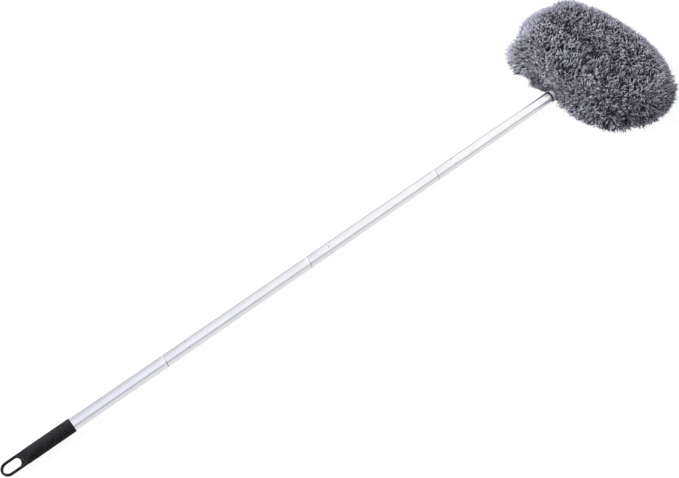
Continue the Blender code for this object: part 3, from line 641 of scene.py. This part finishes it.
def mark_dents(tube, places):
    """Marks the bottoms of the dents, where painted shade darkens the metal."""
    points = points_of(tube) - np.array((0, AXIS_Y, AXIS_Z))
    angle = np.arctan2(points[:, 2], points[:, 1])
    outside = np.hypot(points[:, 1], points[:, 2]) > TUBE_RADIUS - 2 * DENT_DEPTH
    mark = np.zeros(len(points))
    for place, turn in places:
        # The painted shade fades out from each dent's middle
        near = from_dent(points[:, 0], angle, place, turn)
        mark = np.maximum(mark, np.clip((DENT_SHADE_REACH - near) * DENT_SHADE_SHARPNESS, 0, 1) * outside)
    tube.data.attributes.new("dent", "FLOAT", "POINT").data.foreach_set("value", mark.astype(np.float32))


def ring_piece(node, body, material, rounding):
    """A turned ring with rounded edges, in place of a CAD ring."""
    low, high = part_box(node)
    outer = (high.y - low.y) / 2
    profile = band(high.x - low.x, outer * RING_BORE_SHARE, outer, rounding)
    stand_for(turned(node + "_turned", profile, low.x, RING_SEGMENTS, material), node, body)


def thread_wave(along, angle, start, end):
    """The height, 0 to 1, of a right-handed ridge that runs out at both ends."""
    phase = (along - start) / THREAD_PITCH - angle / math.tau
    crest = 0.5 + 0.5 * np.cos(math.tau * phase)
    ridge = np.clip(crest * THREAD_GAIN - THREAD_SINK, 0, 1)
    fade = np.clip((along - start) / THREAD_RUNOUT, 0, 1) * np.clip((end - along) / THREAD_RUNOUT, 0, 1)
    return ridge * fade


def make_plug(section, body):
    """A moulded plug with a real helical thread on its stud."""
    node = "threaded_plug_%d" % section
    low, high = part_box(node)
    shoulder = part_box(TUBE_NAMES[section - 1])[1].x
    seat = (high.y - low.y) / 2
    stud = high.x - shoulder
    steps = int((stud - 2 * STUD_CHAMFER) / THREAD_STEP)
    profile = [(low.x - shoulder, STUD_BORE), (stud, STUD_BORE), (stud, STUD_CORE - STUD_CHAMFER)]
    profile += [(stud - STUD_CHAMFER - i * THREAD_STEP, STUD_CORE) for i in range(steps)]
    profile += [(SHOULDER_SLOPE, STUD_CORE), (0.0, seat), (low.x - shoulder, seat)]

    def threaded(along, radius, angle):
        on_stud = np.abs(radius - STUD_CORE) < CORE_MARGIN
        wave = thread_wave(along, angle, shoulder + THREAD_START, high.x - STUD_CHAMFER)
        return radius + on_stud * THREAD_HEIGHT * wave

    plug = turned(node + "_moulded", profile, shoulder, THREAD_SEGMENTS, BLACK, threaded)
    stand_for(plug, node, body)


def make_socket(section, body):
    """A moulded socket with rounded mouths."""
    node = "threaded_socket_%d" % section
    low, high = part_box(node)
    outer = (high.y - low.y) / 2
    length = high.x - low.x
    profile = rounded([(0, SOCKET_MOUTH), (SOCKET_DEPTH, SOCKET_MOUTH), (SOCKET_DEPTH, SOCKET_TAIL),
                       (length, SOCKET_TAIL), (length, outer), (0, outer)], SOCKET_ROUNDING)
    socket = turned(node + "_moulded", profile, low.x, THREAD_SEGMENTS, BLACK)
    stand_for(socket, node, body)


def make_pole():
    """The four sections, the rings between them and the black ring at the head."""
    bodies = ("handle_section", "section_2", "section_3", "section_4")
    for section, body in enumerate(bodies, 1):
        make_tube(section, body)
        make_plug(section, body)
        if section > 1:
            make_socket(section, body)
            ring_piece("joint_ring_%d" % (section - 1), "ring_%d" % (section - 1), WHITE,
                       THIN_ROUNDING)
    ring_piece("end_ring", "ring_4", RING_BLACK, END_RING_ROUNDING)


def set_material(obj, material):
    """Makes a material the only one of an object."""
    obj.data.materials.clear()
    obj.data.materials.append(material)


def cad_materials():
    """Procedural finishes on the CAD nodes that stay."""
    looks = {"neck_body": BLACK, "neck_cover": BLACK, "neck_screw_1": STEEL,
             "neck_screw_2": STEEL, "frame_wire": STEEL, "frame_sheath": SHEATH}
    for node, material in looks.items():
        set_material(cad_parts[node], material)


def loop_line():
    """Evenly spaced points of the wire's oval, from one side of the neck to the other."""
    angle = np.linspace(0, math.tau, LOOP_FINE_POINTS)
    side, away = [half * np.sign(wave) * np.abs(wave) ** (2 / LOOP_POWER)
                  for half, wave in ((LOOP_HALF_LENGTH, np.sin(angle)), (LOOP_HALF_WIDTH, -np.cos(angle)))]
    keep = ~((away < 0) & (np.abs(side) < LOOP_GAP))
    side, away = side[keep], away[keep]
    length = np.concatenate([[0], np.cumsum(np.hypot(np.diff(side), np.diff(away)))])
    even = np.linspace(0, length[-1], LOOP_POINTS)
    return np.interp(even, length, side), np.interp(even, length, away)


LOOP_SIDE, LOOP_AWAY = loop_line()


def on_head(side, away):
    """Points by their places from the oval's centre, in the frame's axes."""
    return np.array(LOOP_CENTRE) + side[:, None] * SIDE + away[:, None] * AWAY


def unit(vectors, least=1e-12):
    """Vectors scaled to length one."""
    return vectors / (np.linalg.norm(vectors, axis=-1, keepdims=True) + least)


def make_strands(name, node, lines, radii, tones):
    """Tapering three-sided strands of pile, closed at the root and pointed at the tip."""
    count, rings = lines.shape[0], lines.shape[1] - 1
    rng = np.random.default_rng(SEED + count)
    direction = unit(np.gradient(lines, axis=1))
    across = unit(np.cross(direction, rng.normal(size=(count, 1, 3))))
    third = np.cross(direction, across)
    corners = [lines + radii[..., None] * (math.cos(turn) * across + math.sin(turn) * third)
               for turn in (0, math.tau / 3, 2 * math.tau / 3)]
    body = np.stack(corners, 2)[:, :rings].reshape(count, rings * 3, 3)
    vertices = np.concatenate([body, lines[:, -1:]], 1)
    each = rings * 3 + 1
    sides = ((0, 1), (1, 2), (2, 0))
    quads = [(start + i, start + j, start + 3 + j, start + 3 + i)
             for start in range(0, rings * 3 - 3, 3) for i, j in sides]
    caps = [(2, 1, 0)] + [(each - 4 + i, each - 4 + j, each - 1) for i, j in sides]
    loops = np.concatenate([np.ravel(quads), np.ravel(caps)]) + (np.arange(count) * each)[:, None]
    sizes = np.tile([len(face) for face in quads + caps], count)
    mesh = bpy.data.meshes.new(name)
    mesh.vertices.add(count * each)
    mesh.vertices.foreach_set("co", vertices.astype(np.float32).ravel())
    mesh.loops.add(loops.size)
    mesh.loops.foreach_set("vertex_index", loops.astype(np.int32).ravel())
    mesh.polygons.add(len(sizes))
    mesh.polygons.foreach_set("loop_start", (np.cumsum(sizes) - sizes).astype(np.int32))
    mesh.update(calc_edges=True)
    mesh.validate()
    tone = np.repeat(tones[:, :rings], 3, axis=1)
    tone = np.concatenate([tone, tones[:, -1:]], 1).reshape(-1, 3)
    colour = mesh.attributes.new("tone", "FLOAT_COLOR", "POINT")
    colour.data.foreach_set("color", np.c_[tone, np.ones(len(tone))].astype(np.float32).ravel())
    mesh.shade_smooth()
    mesh.materials.append(PILE)
    stand_for(add_object(name, mesh), node, "head")


def strand_lines(rng, root, direction, length, bend, thickness):
    """Strands that leave their root straight, then curl over sideways near the tip."""
    count = len(root)
    share = STRAND_SHARES[None, :, None]
    over = np.clip((share - BEND_START) / (1 - BEND_START), 0, 1) ** BEND_POWER
    across = unit(np.cross(direction, bend), 1e-9)
    bend = np.cross(across, direction)
    size = BEND_SIZE * rng.uniform(*BEND_RANGE, (count, 1, 1))
    line = root[:, None] + direction[:, None] * (length[:, None, None] * (share - BEND_LOSS * over))
    line = line + bend[:, None] * size * over
    for way in (bend, across):
        phase = rng.uniform(0, math.tau, (count, 1, 1))
        rate = rng.uniform(*CURL_TURNS, (count, 1, 1))
        size = CURL * rng.uniform(*CURL_RANGE, (count, 1, 1))
        line = line + way[:, None] * np.sin(math.tau * rate * share + phase) * size * share ** CURL_POWER
    radii = STRAND_RADIUS * STRAND_WIDTHS * thickness[:, None] * rng.uniform(*WIDTH_RANGE, (count, 1))
    line = held_back(line, radii, rng.uniform(0, FRONT_MARGIN, (count, 1)))
    line[:, :, 1] = np.clip(line[:, :, 1], -PILE_HALF_WIDTH, PILE_HALF_WIDTH)
    line[:, :, 2] = np.clip(line[:, :, 2], radii + FLOOR_GAP, PILE_TOP - radii)
    return line, radii


def held_back(line, radii, margin):
    """Draws strands that reach past the pile's front back towards their roots."""
    root = line[:, :1]
    share = np.ones((len(line), 1, 1))
    for _ in range(HOLD_BACK_STEPS):
        drawn = root + (line - root) * share
        height = drawn[:, :, 2] - AXIS_Z
        across = drawn[:, :, 1] + FRONT_SLOPE[1] * height
        front = np.interp(across, *np.transpose(PILE_FRONT)) + radii + margin
        over = (drawn[:, :, 0] + FRONT_SLOPE[0] * height < front).any(axis=1)
        share[over] *= HOLD_BACK
    return root + (line - root) * share


def tip_values(rng, tones, count):
    """How bright each strand's tip is: some stay in the dark, the others run from middling to pale."""
    dark_share, dark_most, pale_least, pale_most = tones
    dark = rng.uniform(0, 1, count) < dark_share
    pale = pale_least + (pale_most - pale_least) * rng.beta(*TONE_SHAPE, count)
    return np.where(dark, dark_most * rng.uniform(*DARK_RANGE, count), pale)


def strand_tones(rng, values, root_shade_tone):
    """Colours from a root darkened with painted shade to the tip's own tone, on each strand."""
    # Painted shade: each strand's tone fades to dark towards its root
    grow = np.clip((STRAND_SHARES - ROOT_END) / (TIP_START - ROOT_END), 0, 1) ** TIP_POWER
    grow = root_shade_tone[:, None] + (1 - root_shade_tone[:, None]) * grow
    values = np.minimum(values, PALEST)
    tint = 1 + (np.array(TINT) - 1) * (1 - TINT_LOSS * values[:, None, None])
    tint = tint * (1 + TINT_SCATTER * limited(rng, (len(values), 1, 3)))
    return (values[:, None] * grow)[..., None] * tint


def limited(rng, shape):
    """Normal scatter without its far tails."""
    return np.clip(rng.normal(size=shape), -SCATTER_LIMIT, SCATTER_LIMIT)


def flat_vector(pairs):
    """Directions in the frame's axes from their (side, away) parts."""
    return pairs[:, 0:1] * SIDE + pairs[:, 1:2] * AWAY


def slice_roots(rng, number, tufts):
    """Random places along one slice, with the ways outward and inward, and the depth to the slot."""
    last = len(LOOP_SIDE) - 1
    at = (number + rng.uniform(0, 1, tufts)) / SLICE_COUNT * last
    low = np.clip(at.astype(int), 1, last - 2)
    side, away = LOOP_SIDE[low], LOOP_AWAY[low]
    along = unit(np.stack([line[low + 1] - line[low - 1] for line in (LOOP_SIDE, LOOP_AWAY)], 1))
    outward = np.stack([-along[:, 1], along[:, 0]], 1)
    outward *= np.sign((outward * np.stack([side, away], 1)).sum(1))[:, None]
    slot_side = side * SLOT_HALF_LENGTH / LOOP_HALF_LENGTH + SLOT_SPREAD * limited(rng, tufts)
    inward = np.stack([slot_side - side, SLOT_AWAY + SLOT_TILT * slot_side - away], 1)
    depth = np.linalg.norm(inward, axis=1)
    return on_head(side, away), flat_vector(outward), flat_vector(unit(inward)), depth


def towards(table, direction):
    """The values of a table by degrees, for directions round the ring."""
    degrees = np.degrees(np.arctan2(direction[:, 1], direction[:, 0]))
    return np.interp(degrees, *np.transpose(table), period=360)


def pile_directions(rng, number, tufts, per_tuft, angles):
    """Places round one slice, each strand's way and reach there, and how far outward it points, -1 to 1."""
    centre, outward, inward, depth = slice_roots(rng, number, tufts)
    angle = np.radians(rng.uniform(*angles, tufts))
    outness = np.cos(angle)
    outside = outness > 0
    flat = np.where(outside[:, None], outward, inward)
    reach = np.where(outside, towards(PILE_REACH, outward) / 1000, depth)
    power = np.where(outside, OUTER_FULLNESS, INNER_FULLNESS)
    level, rise = np.abs(outness), np.abs(np.sin(angle))
    skin = ((level / reach) ** power + (rise / PILE_RISE) ** power) ** (-1 / power)
    direction = flat * level[:, None] + UP * np.sin(angle)[:, None]
    direction, centre, skin, outness = [np.repeat(values, per_tuft, axis=0)
                                        for values in (direction, centre, skin, outness)]
    centre = centre + ROOT_SCATTER * limited(rng, centre.shape) * np.array((1, 1, 0))
    shared = np.repeat(limited(rng, (tufts, 3)), per_tuft, axis=0)
    direction = unit(direction + SCATTER * (shared + limited(rng, shared.shape)))
    return centre, direction, skin, outness


def make_pile_slice(number):
    """One slice of the ring's pile: tufts of curly yarn round the sleeve, and finer fuzz between them."""
    rng = np.random.default_rng(SEED + number)
    yarn = pile_directions(rng, number, TUFTS_PER_SLICE, STRANDS_PER_TUFT, YARN_ANGLES)
    fuzz = pile_directions(rng, number, FUZZ_PER_SLICE, 1, FUZZ_ANGLES)
    centre, direction, skin, outness = [np.concatenate(pair) for pair in zip(yarn, fuzz)]
    count, yarns = len(skin), len(yarn[2])
    is_fuzz = np.arange(count) >= yarns
    spread = YARN_SPREAD + (towards(RIM_SPREAD, direction) - YARN_SPREAD) * np.clip(outness, 0, 1)
    short = YARN_LONGEST - spread * rng.beta(*LENGTH_SHAPE, count)
    short = np.where(is_fuzz, rng.uniform(*FUZZ_LENGTHS, count), short)
    length = skin * short / (1 - BEND_LOSS) - SLEEVE_RADIUS
    shared = np.repeat(rng.normal(size=(TUFTS_PER_SLICE, 3)), STRANDS_PER_TUFT, axis=0)
    bend = np.concatenate([shared, np.zeros((count - yarns, 3))]) + rng.normal(0, BEND_SCATTER, (count, 3))
    thickness = np.where(is_fuzz, FUZZ_SCALE, 1.0)
    lines, radii = strand_lines(rng, centre + direction * SLEEVE_RADIUS, direction, length, bend, thickness)
    values = np.concatenate([tip_values(rng, YARN_TONES, yarns), tip_values(rng, FUZZ_TONES, count - yarns)])
    # Painted shade and light on inward strands: darker at the crease, paler in other directions
    inner = towards(INNER_SHADE_AND_LIGHT, centre - np.array(LOOP_CENTRE))
    values *= 1 + (inner - 1) * np.clip(INNER_FROM - outness, 0, 1)
    # A painted highlight: at the rim, some outward strands take a pale tone, more on some sides than others
    at_rim = np.clip((outness - RIM_FROM) / (RIM_FULL - RIM_FROM), 0, 1)
    highlighted = rng.uniform(0, 1, count) < towards(RIM_HIGHLIGHT_SHARE, direction) * at_rim
    values += (RIM_HIGHLIGHT_TONE - values) * highlighted * rng.uniform(*RIM_RANGE, count)
    tones = strand_tones(rng, values, np.full(count, ROOT_SHADE_TONE))
    node = "pile_slice_%02d" % (number + 1)
    make_strands(node + "_tufts", node, lines, radii, tones)


def make_neck_pile():
    """The pile on the cuff: short and pale behind the pole's end, longer towards the ring's middle."""
    rng = np.random.default_rng(CUFF_SEED)
    low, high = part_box("sleeve_cuff")[0].x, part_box("neck_body")[1].x
    count = CUFF_STRANDS
    share = rng.uniform(0, 1, count) ** CUFF_CROWDING
    angle = np.radians(rng.uniform(*CUFF_ANGLES, count))
    outward = np.stack([np.zeros(count), np.cos(angle), np.sin(angle)], 1)
    along = low + CUFF_INSET + (high - low) * share
    root = np.stack([along, np.full(count, AXIS_Y), np.full(count, AXIS_Z)], 1) + outward * CUFF_RADIUS
    lean = np.array((1, 0, 0)) * (share * CUFF_LEAN)[:, None]
    direction = unit(outward + lean + SCATTER * limited(rng, (count, 3)))
    length = CUFF_SHORTEST + CUFF_GROWTH * np.clip(share * CUFF_GROWTH_RATE, 0, 1)
    length = length * rng.uniform(*CUFF_RANGE, count)
    thickness = np.where(rng.uniform(0, 1, count) < CUFF_FINE_SHARE, FUZZ_SCALE, CUFF_WIDTH)
    lines, radii = strand_lines(rng, root, direction, length, rng.normal(size=(count, 3)), thickness)
    pale = np.clip(1 - share * CUFF_PALE_RATE, 0, 1)
    values = tip_values(rng, YARN_TONES, count)
    values = values + (CUFF_TONE - values) * pale * CUFF_PALENESS
    tones = strand_tones(rng, values, ROOT_SHADE_TONE + CUFF_ROOT_TONE * pale)
    make_strands("sleeve_cuff_tufts", "sleeve_cuff", lines, radii, tones)


def make_flap():
    """The flap of close, straight pile that hangs beside the pole's end, on the ring's left."""
    rng = np.random.default_rng(FLAP_SEED)
    count = FLAP_STRANDS
    root = np.stack([rng.uniform(*ends, count) for ends in zip(FLAP_LOW, FLAP_HIGH)], 1)
    direction = unit(FLAP_WAY + FLAP_SCATTER * limited(rng, (count, 3)))
    length = rng.uniform(*FLAP_LENGTHS, count)
    bend = rng.normal(size=(count, 3)) * FLAP_BEND
    lines, radii = strand_lines(rng, root, direction, length, bend, np.full(count, FLAP_WIDTH))
    tones = strand_tones(rng, rng.uniform(*FLAP_TONES, count), np.full(count, FLAP_ROOT_TONE))
    make_strands("sleeve_flap_tufts", "sleeve_cuff", lines, radii, tones)


def make_hem():
    """The cuff's gathered hem: a ribbed knit band from over the black ring to the pile."""
    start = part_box("end_ring")[1].x - HEM_OVER_RING
    profile = band(HEM_END - start, HEM_BORE, HEM_RADIUS, THIN_ROUNDING)

    def gathered(along, radius, angle):
        return radius + HEM_RIB_HEIGHT * np.cos(HEM_RIBS * angle) * (radius > (HEM_BORE + HEM_RADIUS) / 2)

    hem = turned("sleeve_hem", profile, start, HEM_RIBS * HEM_RIB_SEGMENTS, HEM, gathered)
    stand_for(hem, "sleeve_cuff", "head")


def make_sleeve():
    """The fabric tube on the wire's sheath that carries the pile."""
    centre = on_head(LOOP_SIDE[::SLEEVE_STEP], LOOP_AWAY[::SLEEVE_STEP])
    level = unit(np.cross(unit(np.gradient(centre, axis=0)), UP))
    angle = np.arange(SLEEVE_SIDES) * math.tau / SLEEVE_SIDES
    way = level[:, None] * np.cos(angle)[None, :, None] + UP * np.sin(angle)[None, :, None]
    outer, inner = [centre[:, None] + way * radius for radius in (SLEEVE_RADIUS, SLEEVE_BORE)]
    rings = np.concatenate([outer, inner[::-1]])
    sleeve = mesh_object("pile_sleeve", rings.reshape(-1, 3), loft_faces(*rings.shape[:2]), SLEEVE)
    stand_for(sleeve, "pile_slice_01", "head")


def make_head():
    """The sleeve with its pile, slice by slice, and the cuff's pile, flap and hem."""
    make_sleeve()
    for number in range(SLICE_COUNT):
        make_pile_slice(number)
    make_neck_pile()
    make_flap()
    make_hem()


def arc_points(centre, radius, start, end, steps):
    """Points along an arc, both ends included, with angles in degrees."""
    angles = np.radians(np.linspace(start, end, steps + 1))
    return [(centre[0] + radius * math.cos(a), centre[1] + radius * math.sin(a)) for a in angles]


def eye_outline():
    """The hanging eye from above: round at the tip, and bulging a little towards the handle."""
    half = EYE_WIDTH / 2
    shoulder = EYE_TIP_WALL + EYE_LENGTH - EYE_BULGE
    corner = shoulder - EYE_CORNER
    points = arc_points((EYE_TIP_WALL + half, 0), half, 90, 270, EYE_STEPS)
    points += arc_points((corner, -half + EYE_CORNER), EYE_CORNER, -90, -CORNER_END, CORNER_STEPS)
    start, height = shoulder - BULGE_SINK, EYE_BULGE + BULGE_SINK
    points += [(start + height * (1 - (share / BULGE_ROOT) ** 2), share * half)
               for share in np.linspace(-BULGE_SPAN, BULGE_SPAN, BULGE_POINTS)]
    points += arc_points((corner, half - EYE_CORNER), EYE_CORNER, CORNER_END, 90, CORNER_STEPS)
    return points


def prism(name, outline, low, high, upright):
    """A cutter: an outline pulled through a height, either upright or along Y."""
    mesh = bpy.data.meshes.new(name)
    shape = bmesh.new()
    bottom, top = [[shape.verts.new((x, y, height) if upright else (x, height, y)) for x, y in outline]
                   for height in (low, high)]
    shape.faces.new(bottom)
    shape.faces.new(top)
    for i in range(len(outline)):
        j = (i + 1) % len(outline)
        shape.faces.new((bottom[i], bottom[j], top[j], top[i]))
    bmesh.ops.recalc_face_normals(shape, faces=shape.faces)
    shape.to_mesh(mesh)
    shape.free()
    return add_object(name, mesh)


def applied(obj):
    """Bakes an object's modifiers into its mesh."""
    bpy.context.view_layer.update()
    graph = bpy.context.evaluated_depsgraph_get()
    mesh = bpy.data.meshes.new_from_object(obj.evaluated_get(graph))
    obj.modifiers.clear()
    obj.data = mesh


def tab_cutters(low, land_end):
    """What is cut from the grip: the room above and below the tab, up to its ramp, and the hanging eye."""
    half = TAB_THICKNESS / 2
    outside = 2 * GRIP_RADIUS
    slope = (outside - half) * TAB_RAMP / (GRIP_RADIUS - half)
    cutters = []
    for way in (1, -1):
        outline = [(-outside, way * half), (land_end, way * half), (land_end + slope, way * outside),
                   (-outside, way * outside)]
        placed = [(low + x, AXIS_Z + z) for x, z in outline]
        cutters.append(prism("tab_cut", placed, AXIS_Y - outside, AXIS_Y + outside, False))
    placed = [(low + x, AXIS_Y + y) for x, y in eye_outline()]
    cutters.append(prism("eye_cut", placed, AXIS_Z - outside, AXIS_Z + outside, True))
    return cutters


def cut_out(obj, cutters):
    """Cuts the cutters' shapes from an object, and removes them."""
    for cutter in cutters:
        cut = obj.modifiers.new("cut", "BOOLEAN")
        cut.object = cutter
        cut.operation = "DIFFERENCE"
        cut.solver = "EXACT"
    applied(obj)
    for cutter in cutters:
        bpy.data.objects.remove(cutter, do_unlink=True)


def soften(grip, low, land_end):
    """Gives the grip an even skin, then rounds its ramp a lot and its edges a little."""
    remesh = grip.modifiers.new("even_skin", "REMESH")
    remesh.mode = "VOXEL"
    remesh.voxel_size = GRIP_VOXEL
    applied(grip)
    group = grip.vertex_groups.new(name="ramp")
    away = np.abs(points_of(grip)[:, 0] - low - (land_end + TAB_RAMP / 2))
    weight = np.clip(RAMP_WEIGHT - away / (TAB_RAMP * RAMP_FADE), 0, 1)
    for level in RAMP_LEVELS:
        chosen = np.nonzero((weight > level - RAMP_LEVELS[0]) & (weight <= level))[0]
        group.add(chosen.tolist(), level, "REPLACE")
    for name, rounds, where in (("soft_ramp", RAMP_ROUNDING, "ramp"), ("soft_edges", GRIP_ROUNDING, "")):
        soft = grip.modifiers.new(name, "SMOOTH")
        soft.iterations = rounds
        soft.vertex_group = where
    applied(grip)


def snap_round(grip, low, start):
    """Puts the handle's round stretch back on its true radii after the remesh."""
    places = points_of(grip)
    y, z = places[:, 1] - AXIS_Y, places[:, 2] - AXIS_Z
    radius = np.hypot(y, z)
    along = places[:, 0] - low
    inside = (along > start) & (along < GRIP_LENGTH - ROUND_MOUTH)
    for true in (GRIP_RADIUS, GRIP_BORE):
        near = inside & (np.abs(radius - true) < GRIP_VOXEL * ROUND_REACH)
        scale = np.where(near, true / np.maximum(radius, 1e-6), 1)
        y, z = y * scale, z * scale
        radius = np.hypot(y, z)
    places[:, 1], places[:, 2] = AXIS_Y + y, AXIS_Z + z
    grip.data.vertices.foreach_set("co", places.ravel())
    grip.data.update()


def make_grip():
    """The soft black sleeve: a round handle that flattens to a tab with a long eye."""
    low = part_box("handle_grip")[0].x
    blind = GRIP_LENGTH - GRIP_COVER
    tip = [(GRIP_RADIUS - GRIP_RADIUS * math.sin(a), GRIP_RADIUS * math.cos(a))
           for a in np.radians(np.linspace(0, TIP_ARC, TIP_POINTS))]
    profile = [(blind, BLIND_CENTRE), (blind, GRIP_BORE), (GRIP_LENGTH, GRIP_BORE),
               (GRIP_LENGTH, GRIP_RADIUS)] + tip
    grip = turned("handle_grip_moulded", profile, low, GRIP_SEGMENTS, GRIP)
    land_end = EYE_TIP_WALL + EYE_LENGTH + TAB_LAND
    cut_out(grip, tab_cutters(low, land_end))
    soften(grip, low, land_end)
    snap_round(grip, low, land_end + TAB_RAMP * ROUND_FROM)
    set_material(grip, GRIP)
    grip.data.shade_smooth()
    stand_for(grip, "handle_grip", "handle_section")


def by_rays(owner, plain, glossy, camera, output):
    """Shows one shader to plain rays, another to glossy rays and a third to the camera."""
    rays = add_node(owner, "ShaderNodeLightPath").outputs
    for_gloss = add_node(owner, "ShaderNodeMixShader", rays["Is Glossy Ray"], plain, glossy)
    seen = add_node(owner, "ShaderNodeMixShader", rays["Is Camera Ray"], for_gloss.outputs["Shader"], camera)
    set_input(owner, owner.node_tree.nodes[output].inputs["Surface"], seen.outputs["Shader"])


def floor_material():
    """White floor: plain white to the camera, with a soft trace of shadow, and a painted reflection for the
    metal: to glossy rays it glows brighter on the near side of the pole's line than on the far side.
    """
    material = new_material("studio_floor", FLOOR_COLOUR, 0.9)
    glow = add_node(material, "ShaderNodeEmission", PLAIN_WHITE, FLOOR_GLOW)
    paper = add_node(material, "ShaderNodeBsdfDiffuse", FLOOR_PAPER)
    seen = add_node(material, "ShaderNodeAddShader", glow.outputs["Emission"], paper.outputs["BSDF"])
    # Painted reflection: the floor's glow as the metal sees it, falling across the pole's line
    across = add_node(material, "ShaderNodeSeparateXYZ", object_place(material)).outputs["Y"]
    level = mapped(material, across, AXIS_Y - FLOOR_BLEND, AXIS_Y + FLOOR_BLEND, *FLOOR_IN_GLOSS)
    sheen = add_node(material, "ShaderNodeEmission", PLAIN_WHITE, level)
    by_rays(material, shader_of(material).outputs["BSDF"], sheen.outputs["Emission"], seen.outputs["Shader"],
            "Material Output")
    return material


def make_floor():
    """A wide plain floor under the duster."""
    mesh = bpy.data.meshes.new("floor")
    corners = [(x * FLOOR_HALF, y * FLOOR_HALF, -FLOOR_DROP) for x, y in ((-1, -1), (1, -1), (1, 1), (-1, 1))]
    mesh.from_pydata(corners, [], [(0, 1, 2, 3)])
    mesh.materials.append(floor_material())
    add_object("floor", mesh)


def camera_axes():
    """The camera's right, up and back directions."""
    a, e = CAMERA_AZIMUTH, CAMERA_ELEVATION
    back = Vector((math.sin(a) * math.cos(e), -math.cos(a) * math.cos(e), math.sin(e)))
    right = Vector((math.cos(a), math.sin(a), 0))
    return right, back.cross(right), back


def make_camera():
    """The camera at the photograph's angle."""
    axes = camera_axes()
    data = bpy.data.cameras.new("camera")
    data.lens = LENS
    data.sensor_width = SENSOR
    data.sensor_fit = "HORIZONTAL"
    camera = add_object("camera", data)
    place = Matrix.Translation(CAMERA_AIM + axes[2] * CAMERA_DISTANCE)
    camera.matrix_world = place @ Matrix(axes).transposed().to_4x4()
    bpy.context.scene.camera = camera


def area_light(name, place, target, size, power):
    """A soft square lamp that faces a point, and that gloss doesn't show."""
    data = bpy.data.lights.new(name, "AREA")
    data.shape = "SQUARE"
    data.size = size
    data.energy = power
    lamp = add_object(name, data)
    lamp.location = place
    lamp.rotation_euler = (Vector(place) - Vector(target)).to_track_quat("Z", "Y").to_euler()
    lamp.visible_glossy = False


def studio_reflection(world):
    """What polished metal sees: bright above, with a darker band low down on the near side."""
    place = add_node(world, "ShaderNodeTexCoord").outputs["Generated"]
    parts = add_node(world, "ShaderNodeSeparateXYZ", place).outputs

    def by_height(stops):
        return ramp(world, parts["Z"], [(height, (level, level, level)) for height, level in stops])

    past_handle = mapped(world, parts["X"], *HANDLE_TO_POLE)
    near = mixed(world, past_handle, by_height(NEAR_HANDLE), by_height(NEAR_SIDE))
    far = mixed(world, past_handle, by_height(FAR_HANDLE), by_height(FAR_SIDE))
    both = mixed(world, mapped(world, parts["Y"], *NEAR_TO_FAR), near, far)
    tint = ramp(world, mapped(world, parts["X"], *HANDLE_TO_WHITE),
                ((0, HANDLE_TINT), (1, PLAIN_WHITE[:3])))
    return mixed(world, 1.0, both, tint, "MULTIPLY")


def make_world():
    """An even white surround, plain white to the camera and shaped a little for the metal."""
    world = bpy.data.worlds.new("surround")
    bpy.context.scene.world = world
    world.use_nodes = True
    even = world.node_tree.nodes["Background"]
    even.inputs["Color"].default_value = PLAIN_WHITE
    even.inputs["Strength"].default_value = WORLD_LEVEL
    gloss = add_node(world, "ShaderNodeBackground", studio_reflection(world))
    white = add_node(world, "ShaderNodeBackground", PLAIN_WHITE)
    by_rays(world, even.outputs["Background"], gloss.outputs["Background"], white.outputs["Background"],
            "World Output")


def make_lights():
    """Soft light from the upper left of the picture, a weak fill from the near side, and the surround."""
    key_place = sum((axis * distance for axis, distance in zip(camera_axes(), KEY_PLACE)), LOOP_CENTRE)
    area_light("key", key_place, LOOP_CENTRE, KEY_SIZE, KEY_POWER)
    area_light("fill", FILL_PLACE, FILL_AIM, FILL_SIZE, FILL_POWER)
    make_world()


make_camera()
make_pole()
make_grip()
cad_materials()
make_head()
make_floor()
make_lights()
bpy.context.scene.view_settings.view_transform = "Standard"
